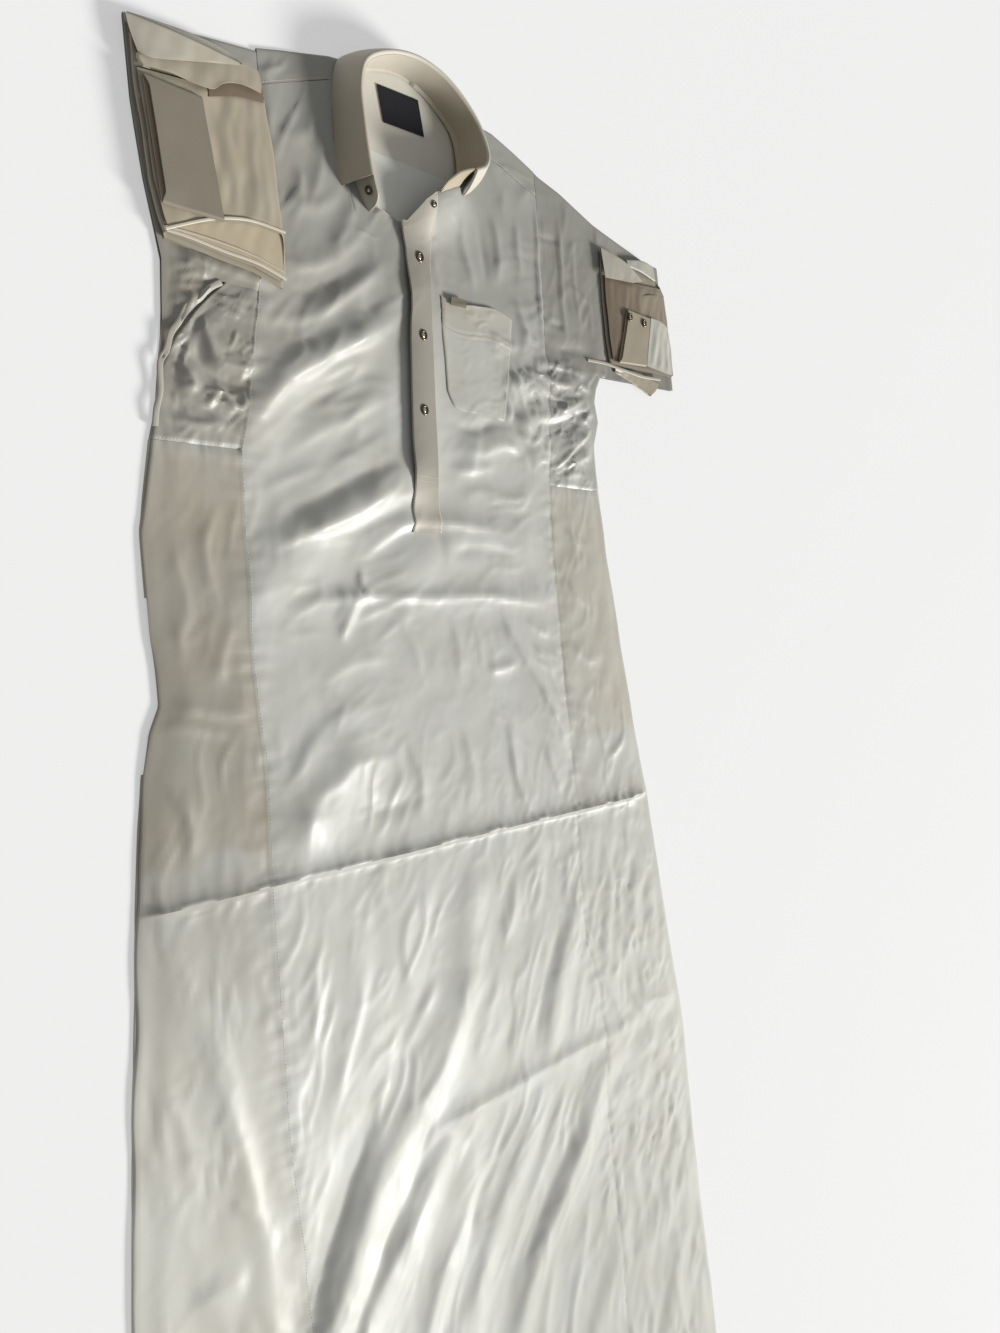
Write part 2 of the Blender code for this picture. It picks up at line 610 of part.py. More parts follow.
def folded_side(name, rows, seam_at, fold_at, left_out=None):
    """A piece folded in two at the robe's side, its two seams one above the other."""

    def spot(step, y):
        x, z = wrap(step, seam_at(y), fold_at(y))
        return on_front(x, y) if step.part == "front" else place(x, y, z)

    cloth(name, grid(wrap_steps((0, 1), GORE_FRONT), rows, spot, left_out))


def make_gore(side, away):
    """A side panel; its side fold is open along the pocket mouth."""

    def in_mouth(step, y):
        turning = step.part == "turn" or step == Step("back", 1)
        return turning and POCKET_MOUTH[0] - GAP < y < POCKET_MOUTH[1] - GAP

    folded_side(
        "side_gore_" + side,
        rows_between(0, GORE_TOP),
        lambda y: body(side + "_seam", y) + away * GAP / 2,
        lambda y: body(side + "_fold", y),
        in_mouth,
    )


def make_gusset(side, away):
    rows = [GORE_TOP + GAP] + rows_between(GORE_TOP + GAP * 2, GUSSET_TOP) + [GUSSET_TOP]
    folded_side(
        "gusset_" + side,
        rows,
        lambda y: body(side + "_seam", y) + away * GAP / 2,
        lambda y: blend(GUSSETS, side + "_outer", y),
    )


def make_side_pocket(side):
    """The bag between the two layers of a gore."""

    def spot(share, y):
        seam, fold = body(side + "_seam", y), body(side + "_fold", y)
        return place(fold + (seam - fold) * share, y, BAG_Z)

    sheet = grid(BAG_SHARE, spread(*BAG, BAG_ROWS), spot)
    cloth("side_pocket_" + side, sheet, SHADE_COLOUR, BAG_WALL)


def make_back_panel():
    def spot(share, y):
        left, right = body("left_seam", y) + GAP / 2, body("right_seam", y) - GAP / 2
        return place(left + (right - left) * share, y, BACK_Z)

    rows = rows_between(0, TOP_BLOCK) + [BACK_TURN_ROW, YOKE_BACK_SEAM - GAP / 2]
    cloth("back_panel", grid(spread(0, 1, BACK_COLUMNS), rows, spot))


def make_yoke():
    first, last = YOKE_NECK

    def spot(column, step):
        turned = YOKE[column]
        seam = turned.front_y if step.part == "front" else YOKE_BACK_SEAM + GAP / 2
        y, z = wrap(step, seam or YOKE_BACK_SEAM, turned.y)
        x = turned.x
        if step.part == "front":
            x = turned.front_x + (turned.x - turned.front_x) * step.share
            return on_front(x, y)
        return place(x, y, z)

    def in_neck(column, step):
        return first <= column < last and step not in backs

    backs = [Step("back", share) for share in YOKE_BACK[:-1]]
    steps = wrap_steps(YOKE_BACK, YOKE_FRONT)
    cloth("yoke", grid(range(len(YOKE)), steps, spot, in_neck))


def make_sleeve(side, away, hems):
    """The sleeve's first run, folded in two along the shoulder line."""

    def spot(hem, step):
        armhole = body(side + "_seam", hem.y)
        x = armhole + (blend(SLEEVE_ENDS, side, hem.y) - armhole) * hem.share
        y, z = wrap(step, hem.y, blend(SHOULDER, "y", x))
        armhole = body(side + "_seam", y) + away * GAP / 2
        x = armhole + (blend(SLEEVE_ENDS, side, y) - armhole) * hem.share
        return on_front(x, y) if step.part == "front" else place(x, y, z)

    cloth("sleeve_" + side, grid(hems, wrap_steps(SLEEVE_BACK, SLEEVE_FRONT), spot))


def stack_section(row, runs, arch):
    """Round a stack of folded runs: a bulge for each run, a groove between two."""
    inwards = math.copysign(GROOVE, row.inner - row.outer)
    edge = [(inwards / 2, 0)]
    for run in range(runs):
        edge += [(0, run + RUN_BULGE), (0, run + 1 - RUN_BULGE), (inwards, run + 1)]
    edge[-1] = (inwards / 2, runs)
    width = row.inner - row.outer
    points = [(row.outer + inset, level * RUN_HEIGHT) for inset, level in edge]
    for share, rise in arch:
        points.append((row.outer + width * share, runs * RUN_HEIGHT + rise))
    points += [(row.inner - inset, level * RUN_HEIGHT) for inset, level in reversed(edge)]
    return [place(x, row.y, STACK_Z + z) for x, z in points]


def make_stack(side, rows, runs, arch):
    sheet = tube(rows, lambda row: stack_section(row, runs, arch), capped=True)
    new_object("sleeve_" + side + "_folds", sheet, CLOTH_COLOUR)


def plate(name, corners, height, colour, thickness=WALL):
    """A thin plate with these corners; height(x, y) is the middle of its wall."""
    sheet = bmesh.new()
    bmesh.ops.create_circle(sheet, segments=len(corners), radius=1, cap_ends=True)
    sheet.verts.ensure_lookup_table()
    for vert, (x, y) in zip(sheet.verts, corners):
        vert.co = place(x, y, height(x, y))
    return cloth(name, sheet, colour, thickness)


def cuff_section(cuff, share, base):
    """Round a cuff part of the way from its open end to its seam with the sleeve."""
    ends = []
    for k in ("1", "2"):
        x = getattr(cuff, "open_x" + k)
        y = getattr(cuff, "open_y" + k)
        x += (getattr(cuff, "sewn_x" + k) - x) * share
        y += (getattr(cuff, "sewn_y" + k) - y) * share
        ends.append(Vector((x, y - ORIGIN_Y, base)))
    across = ends[1] - ends[0]
    radius = (CUFF_SEWN + WALL) / 2
    inset = across.normalized() * radius
    rise = (CUFF_OPEN - CUFF_SEWN) * (1 - soft_step(share))
    points = [ends[0] + inset, ends[1] - inset]
    for angle in CUFF_TURN:
        out = inset * math.sin(angle)
        points.append(ends[1] - inset + out + Vector((0, 0, radius * (1 - math.cos(angle)))))
    for part in CUFF_ARCH:
        spot = ends[1] - inset + (ends[0] - ends[1] + inset * 2) * part
        points.append(spot + Vector((0, 0, 2 * radius + rise * math.sin(math.pi * part))))
    for angle in reversed(CUFF_TURN):
        out = inset * math.sin(angle)
        points.append(ends[0] + inset - out + Vector((0, 0, radius * (1 - math.cos(angle)))))
    return points


def make_cuff(side, cuff, base):
    """A flattened tube of double cloth, gaping at the wrist."""
    sheet = tube(CUFF_ROWS, lambda share: cuff_section(cuff, share, base), capped=False)
    cloth("cuff_" + side, sheet)


def collar_curve(column, station):
    """A column of the collar's table at a station, on a smooth curve through its rows."""
    last = len(COLLAR) - 1
    at = station / COLLAR_STATIONS * last
    i = min(int(at), last - 1)
    t = at - i
    rows = [COLLAR[min(max(k, 0), last)] for k in (i - 1, i, i + 1, i + 2)]
    a, b, c, d = [getattr(row, column) for row in rows]
    bend = (2 * a - 5 * b + 4 * c - d) * t * t + (3 * b - a - 3 * c + d) * t * t * t
    return b + ((c - a) * t + bend) / 2


def collar_point(line, station):
    x, y, z = [collar_curve(line + "_" + axis, station) for axis in "xyz"]
    if line != "roll" and station > COLLAR_STATIONS / 2:
        under = on_front(x, y, lifted=True).z + WALL / 2 + COLLAR_CLEARANCE
        z = max(z, under)
    return place(x, y, z)


def make_collar_stand():
    def spot(station, share):
        seam, roll = collar_point("seam", station), collar_point("roll", station)
        roll.z -= ROLL_DROP
        return seam.lerp(roll, share)

    cloth("collar_stand", grid(range(COLLAR_STATIONS + 1), STAND_ROWS, spot))


def make_collar_fall():
    """The part that turns over outwards; each row of it is one line round the neck."""

    def spot(station, row):
        roll, edge = collar_point("roll", station), collar_point("edge", station)
        out = edge - roll
        out.z = 0
        out.normalize()
        drops = [roll + out * far - Vector((0, 0, down)) for far, down in FALL_ROWS]
        drops += [drops[-1].lerp(edge, share) for share in FALL_SHARES]
        return drops[row]

    first, last = FALL_STATIONS
    rows = range(len(FALL_ROWS) + len(FALL_SHARES))
    cloth("collar_fall", grid(range(first, last + 1), rows, spot))


def make_snap(name, middle, out):
    """A round cap, its axis along out, standing just clear of the cloth."""
    cap = bmesh.new()
    bmesh.ops.create_cone(
        cap,
        cap_ends=True,
        segments=SNAP_SIDES,
        radius1=SNAP_RADIUS,
        radius2=SNAP_RADIUS * SNAP_TOP,
        depth=SNAP_HEIGHT,
    )
    turn = Vector((0, 0, 1)).rotation_difference(out).to_matrix().to_4x4()
    bmesh.ops.transform(cap, matrix=turn, verts=cap.verts)
    bmesh.ops.translate(cap, vec=middle, verts=cap.verts)
    new_object(name, cap, METAL_COLOUR, roughness=0.3, metallic=1.0)


def make_placket_snaps():
    for number, (x, y) in enumerate(PLACKET_SNAPS, 1):
        low, high = [on_front(x, y, lifted=True, layers=k) for k in (1, 2)]
        out = (high - low).normalized()
        middle = low + out * (WALL / 2 + SNAP_CLEARANCE + SNAP_HEIGHT / 2)
        make_snap(f"placket_snap_{number}", middle, out)


def make_band_snap():
    seam, roll = [collar_point(line, BAND_SNAP_STATION) for line in ("seam", "roll")]
    ahead = collar_point("seam", BAND_SNAP_STATION + 1) - seam
    out = ahead.cross(roll - seam).normalized()
    middle = seam.lerp(roll, BAND_SNAP_HEIGHT) - out * (WALL / 2 + SNAP_CLEARANCE + SNAP_HEIGHT / 2)
    make_snap("band_snap", middle, -out)


def make_cuff_snaps():
    for number, (x, y, z) in enumerate(CUFF_SNAPS, 1):
        make_snap(f"cuff_snap_{number}", place(x, y, z), Vector((0, 0, 1)))


def tab_height(x, y):
    corner = on_front(x, y, lifted=True, layers=2)
    return corner.z + TAB_CLEARANCE


def main():
    for item in list(bpy.data.objects):
        bpy.data.objects.remove(item, do_unlink=True)
    collection = bpy.data.collections.new("Thobe")
    bpy.context.scene.collection.children.link(collection)

    make_back_panel()
    make_front_panel()
    make_placket()
    make_under_placket()
    make_breast_pocket()
    make_yoke()
    for side, away in (("left", -1), ("right", 1)):
        make_gore(side, away)
        make_gusset(side, away)
        make_side_pocket(side)
    make_sleeve("left", -1, LEFT_HEM)
    make_sleeve("right", 1, RIGHT_HEM)
    make_stack("left", LEFT_STACK, LEFT_RUNS, LEFT_ARCH)
    make_stack("right", RIGHT_STACK, RIGHT_RUNS, RIGHT_ARCH)
    plate("sleeve_left_flap", LEFT_FLAP, lambda x, y: LEFT_FLAP_Z, CLOTH_COLOUR)
    make_cuff("left", LEFT_CUFF, LEFT_CUFF_Z)
    make_cuff("right", RIGHT_CUFF, RIGHT_CUFF_Z)
    make_collar_stand()
    make_collar_fall()
    make_placket_snaps()
    make_band_snap()
    make_cuff_snaps()
    plate("neck_label", LABEL, lambda x, y: LABEL_Z, LABEL_COLOUR, LABEL_WALL)
    plate("pocket_tab", TAB, tab_height, LABEL_COLOUR, LABEL_WALL)


main()
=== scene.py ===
"""Dresses a satin thobe, laid flat with its front up, in its cloth, seams, snaps and light.

Every panel is a fine sheet laid on the form of its solid. The big folds come from the same
rows as the solid's, and the creases are listed one by one. Lengths are metres, except in the
tables, which are in millimetres: y up from the hem and x from the centre line.
"""

import math
from collections import namedtuple

import bmesh
import bpy
import numpy as np
from bpy.props import FloatProperty, FloatVectorProperty, PointerProperty
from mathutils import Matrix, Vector


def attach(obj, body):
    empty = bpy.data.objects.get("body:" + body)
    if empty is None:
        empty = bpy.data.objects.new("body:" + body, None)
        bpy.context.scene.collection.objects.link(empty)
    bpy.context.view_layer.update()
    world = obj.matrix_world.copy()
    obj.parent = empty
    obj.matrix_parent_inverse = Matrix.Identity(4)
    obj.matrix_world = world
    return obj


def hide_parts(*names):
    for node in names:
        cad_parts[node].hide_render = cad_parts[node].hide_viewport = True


bl_info = {
    "name": "Thobe dressing",
    "version": (1, 0, 0),
    "blender": (4, 5, 0),
    "location": "View3D > Sidebar > Thobe",
    "description": "Lays satin panels, stitching, snaps and studio light on a flat thobe",
    "category": "Object",
}

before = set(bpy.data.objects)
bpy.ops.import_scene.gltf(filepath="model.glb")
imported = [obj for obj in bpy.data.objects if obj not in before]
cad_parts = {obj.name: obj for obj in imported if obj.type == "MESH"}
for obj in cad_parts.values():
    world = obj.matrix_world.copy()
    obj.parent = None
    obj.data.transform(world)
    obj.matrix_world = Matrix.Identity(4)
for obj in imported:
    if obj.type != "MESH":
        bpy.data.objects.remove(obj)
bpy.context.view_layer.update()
BODY_NAME = "root"
ORIGIN_Y = 0.78  # height of the frame's origin above the hem
FRONT_Z = 0.0021  # middle of the front layer where it lies flat
BACK_Z = 0.0006
FLOOR_Z = 0.0003  # the lowest that the middle of a sheet may lie
SEAM_GAP = 0.00015  # half of the gap between two panels at their seam
GORE_LAP = 0.0008  # how far a gore reaches under the front at its seam
RIM_ANGLE = math.radians(62)  # cloth bends by less than this from one face to the next
SHEER, FUSED = "satin_polyester", "stiffened_satin"
SIDES = {"left": -1, "right": 1}  # and which way in x is outwards


def places(numbers, axes=2):
    """Places in metres, from their coordinates in millimetres one after another."""
    return np.reshape(numbers, (-1, axes)) / 1000


def stack(*columns):
    """Rows from columns of equal length."""
    return np.stack(columns, axis=-1)


def table(columns, *rows):
    """Rows with named columns in metres, from rows in millimetres."""
    row_type = namedtuple("Row", columns)
    return [row_type(*[number / 1000 for number in row]) for row in rows]


# ---------------------------------------------------------------- outlines and big folds

BODY = table(
    "y left_fold left_seam right_seam right_fold",
    (0, -402, -214, 257, 450),
    (100, -396, -212, 252, 440),
    (220, -389, -209, 246, 426),
    (310, -384, -208, 240, 417),
    (440, -375, -212, 232, 409),
    (500, -371, -218, 235, 401),
    (560, -367, -222, 230, 388),
    (620, -363, -222, 209, 378),
    (710, -355, -223, 203, 361),
    (780, -350, -224, 205, 350),
    (850, -343, -222, 200, 334),
    (890, -338, -222, 196, 326),
    (925, -331, -225, 194, 319),
    (947, -321, -227, 192, 315),
    (1000, -324, -230, 190, 306),
    (1090, -326, -230, 184, 290),
    (1165, -313, -229, 185, 281),
    (1311, -290, -200, 190, 300),
    (1312, -290, -200, 190, 455),
    (1400, -307, -193, 189, 449),
    (1495, -313, -187, 188, 430),
    (1560, -313, -187, 188, 430),
)
GUSSETS = table(
    "y left_outer right_outer",
    (1166, -312.5, 281), (1190, -306, 279), (1222, -302, 277), (1251, -288, 287), (1275, -270, 282),
    (1292, -254, 287), (1309, -236, 297),
)
# Lower edge of each sleeve's first run: thousandths of its length, and height
LEFT_HEM = table(
    "share y",
    (0, 1308.8), (400, 1308.8), (566, 1293.4), (735, 1276.8), (915, 1253.3), (1000, 1231),
)
RIGHT_HEM = table(
    "share y",
    (0, 1309), (430, 1309), (1000, 1315),
)
SLEEVE_ENDS = table(
    "y left right",
    (1225, -300.5, 455), (1260, -295, 455), (1318, -292, 455), (1380, -303, 451), (1440, -310, 436),
    (1510, -312.5, 428),
)
SHOULDER = table(
    "x y",
    (-312.5, 1508), (-260, 1514), (-187, 1529), (-105, 1553), (-80, 1557), (36, 1554), (110, 1555),
    (133, 1550), (199, 1527), (239, 1519), (311, 1497), (430, 1476),
)
# Top of the front: yoke seam, neckline, opening, neckline, yoke seam
FRONT_TOP = table(
    "x y",
    (-186.5, 1496), (-166, 1504.5), (-146, 1513), (-125, 1521.5), (-107, 1529), (-91.5, 1532),
    (-87, 1455), (-68, 1418), (-48, 1421), (-30, 1416), (-24, 1416), (-8, 1437), (6, 1448),
    (26, 1458), (45, 1469), (60, 1486), (68.5, 1521), (90, 1522.5), (110, 1521.3), (131, 1516.5),
    (152, 1511), (171, 1505.5), (187.5, 1500.5),
)
YOKE = table(
    "x y front_x front_y",
    (-186.5, 1529, -186.5, 1496.5),
    (-160, 1537.2, -161, 1507),
    (-133, 1544.9, -135, 1518),
    (-105, 1553, -110, 1528.5),
    (-80, 1557, -91.5, 1532.5),
    (-45, 1566, -45, 1530),
    (-15, 1572, -15, 1530),
    (12, 1567, 12, 1530),
    (36, 1554, 68.5, 1521.5),
    (60, 1554.3, 85, 1523),
    (86, 1554.7, 104, 1523.4),
    (120, 1552.7, 129, 1517.6),
    (155, 1542.4, 158, 1509.7),
    (187.5, 1531.1, 187.5, 1501),
)
YOKE_NECK = (4, 8)  # rows of the yoke's table between which the neck is cut out
YOKE_BACK_SEAM = 1.480
PLACKET = table(
    "y left slit_left slit_right right",
    (0, -36, -26, -6, 4),
    (1101, -35, -25, -7, 4),
    (1234, -29.5, -22, -7, 5),
    (1327, -25, -19, -6, 6.5),
    (1390, -24, -18, -5, 10),
    (1560, -30, -24, -8, 6),
)
# Main columns of the front, as shares of the way from a side seam to the placket
LEFT_COLUMNS = (0, 0.13, 0.26, 0.39, 0.516, 0.613, 0.642, 0.761, 0.88, 1)
RIGHT_COLUMNS = (0, 0.109, 0.212, 0.293, 0.342, 0.45, 0.565, 0.68, 0.79, 0.90, 1)
# The front's cells between one main column and the next
FRONT_CELLS = (7, 7, 7, 7, 5, 2, 6, 6, 6, 3, 4, 3, 5, 5, 4, 3, 6, 6, 6, 6, 6, 6)
PLACKET_LEFT, SLIT_LEFT, SLIT_RIGHT, PLACKET_RIGHT = 9, 10, 11, 12
PLACKET_BOTTOM, SLIT_BOTTOM, TOP_BLOCK = 1.101, 1.120, 1.390
GORE_TOP, GUSSET_TOP = 1.165, 1.309
CREASE_Y = 0.780  # the pressed line straight across the robe
NEAR_CREASE = CREASE_Y - 0.014, CREASE_Y + 0.014
POCKET_MOUTH = (0.895, 1.035)
BAG = (0.808, 1.050)
BAG_RISE = 0.0014

# Big folds, the same as the solid's: a ridge along a line, its half width and height
FOLDS = table(
    "x1 y1 x2 y2 width height",
    (-215, 1192, -172, 1248, 24, 8),
    (-172, 1248, -84, 1303, 26, 10),
    (-84, 1303, -40, 1340, 22, 7),
    (-130, 1302, -50, 1352, 18, 4),
    (-214, 1047, -151, 1097, 28, 9),
    (-151, 1097, -46, 1151, 28, 10),
    (-53, 1050, -12, 1084, 24, 5),
    (20, 1092, 132, 1098, 22, 6),
    (60, 1190, 110, 1205, 22, 4),
    (-200, 1030, 170, 1034, 14, 3),
    (-178, 825, -128, 866, 30, 7),
    (100, 990, 185, 870, 16, 3),
    (25, 720, 5, 630, 20, 6),
    (5, 630, -60, 530, 22, 9),
    (-70, 520, -130, 465, 24, 11),
    (-130, 465, -205, 330, 26, 11),
    (-205, 330, -250, 180, 26, 7),
    (-50, 489, 285, 494, 16, 5),
    (194, 673, 127, 510, 16, 5),
    (-33, 470, -154, 335, 18, 7),
    (-154, 335, -190, 200, 20, 5),
    (1, 432, -110, 235, 18, 5),
    (109, 470, -30, 270, 18, 5),
    (-30, 270, -80, 110, 20, 6),
    (237, 465, 80, 277, 22, 10),
    (80, 277, 10, 130, 22, 8),
    (240, 230, 140, 60, 22, 6),
    (-300, 690, -270, 566, 14, 3),
    (-270, 566, -250, 391, 14, 4),
    (-310, 300, -330, 120, 20, 5),
    (-300, 447, -250, 470, 16, 3),
    (305, 517, 370, 511, 14, 3),
    (300, 480, 350, 447, 14, 3),
    (350, 250, 290, 205, 16, 4),
    (370, 170, 330, 60, 18, 5),
    (-270, 1262, -225, 1235, 14, 6),
    (-285, 1220, -240, 1200, 14, 6),
    (-265, 1190, -235, 1178, 12, 4),
    (130, 1275, 235, 1290, 14, 7),
    (150, 1235, 255, 1262, 15, 8),
    (165, 1200, 245, 1230, 14, 6),
    (225, 1190, 262, 1222, 12, 4),
)
LIFTS = table(
    "x1 y1 x2 y2 width height",
    (-22, 1180, -14, 1350, 30, 5.5),
    (0, 1440, 30, 1458, 32, 21.5),
)

# Collar: neck seam, roll line and outer edge of the fall at places round the neck
COLLAR = table(
    "seam_x seam_y seam_z roll_x roll_y roll_z edge_x edge_y edge_z",
    (-66, 1415, 3.6, -72, 1414, 30, -80, 1414, 4.5),
    (-77, 1430, 3.6, -79, 1431, 32, -96, 1426, 4.5),
    (-86, 1452, 3.6, -85, 1453, 33.5, -104, 1445, 4.5),
    (-91, 1485, 3.6, -89, 1485, 34, -104.5, 1484, 4.5),
    (-90, 1520, 3.6, -90.5, 1518, 34, -103.5, 1520, 4.5),
    (-79.5, 1548.5, 3, -81, 1545, 34, -95, 1552, 4.5),
    (-45, 1564.3, 1.6, -52, 1563, 34, -62, 1571, 4.5),
    (-13, 1570, 1.6, -17, 1571, 34, -22, 1580, 4.5),
    (15, 1563.7, 1.6, 16, 1567, 34, 16, 1577, 4.5),
    (37, 1550.8, 2.6, 44, 1553, 34, 52, 1562, 4.5),
    (56, 1533, 3.6, 66, 1533, 34, 78, 1539, 4.5),
    (62.2, 1510, 4, 77, 1509, 34.5, 90, 1512, 4.5),
    (60, 1488, 8, 72, 1493, 37, 80, 1481, 9),
    (49, 1471, 16, 56, 1482, 41, 56, 1462, 17),
    (30, 1459.5, 25, 35, 1472, 45, 40, 1454, 25),
    (11, 1449.5, 25, 16, 1462, 46, 25, 1445, 26),
)
PLACKET_SNAPS = ((0.0005, 1.434), (-0.0065, 1.384), (-0.0100, 1.303), (-0.0140, 1.226))
CUFF_SNAPS = ((0.3477, 1.3909), (0.3781, 1.3888))
LABEL = ((-0.039, 1.513), (0.016, 1.516), (0.010, 1.552), (-0.045, 1.549))
TAB = ((0.0330, 1.3433), (0.0553, 1.3447), (0.0574, 1.3526), (0.0352, 1.3522))

# ---------------------------------------------------------------- creases

Crease = namedtuple("Crease", "width height lean points")


def creases(*rows):
    """Soft lines. Each row has a half width, a height (below zero for a trough) and a lean from
    -1 to 1, which makes one flank steep, and then the x and y of its points."""
    return [Crease(*row[:3], places(row[3:])) for row in rows]


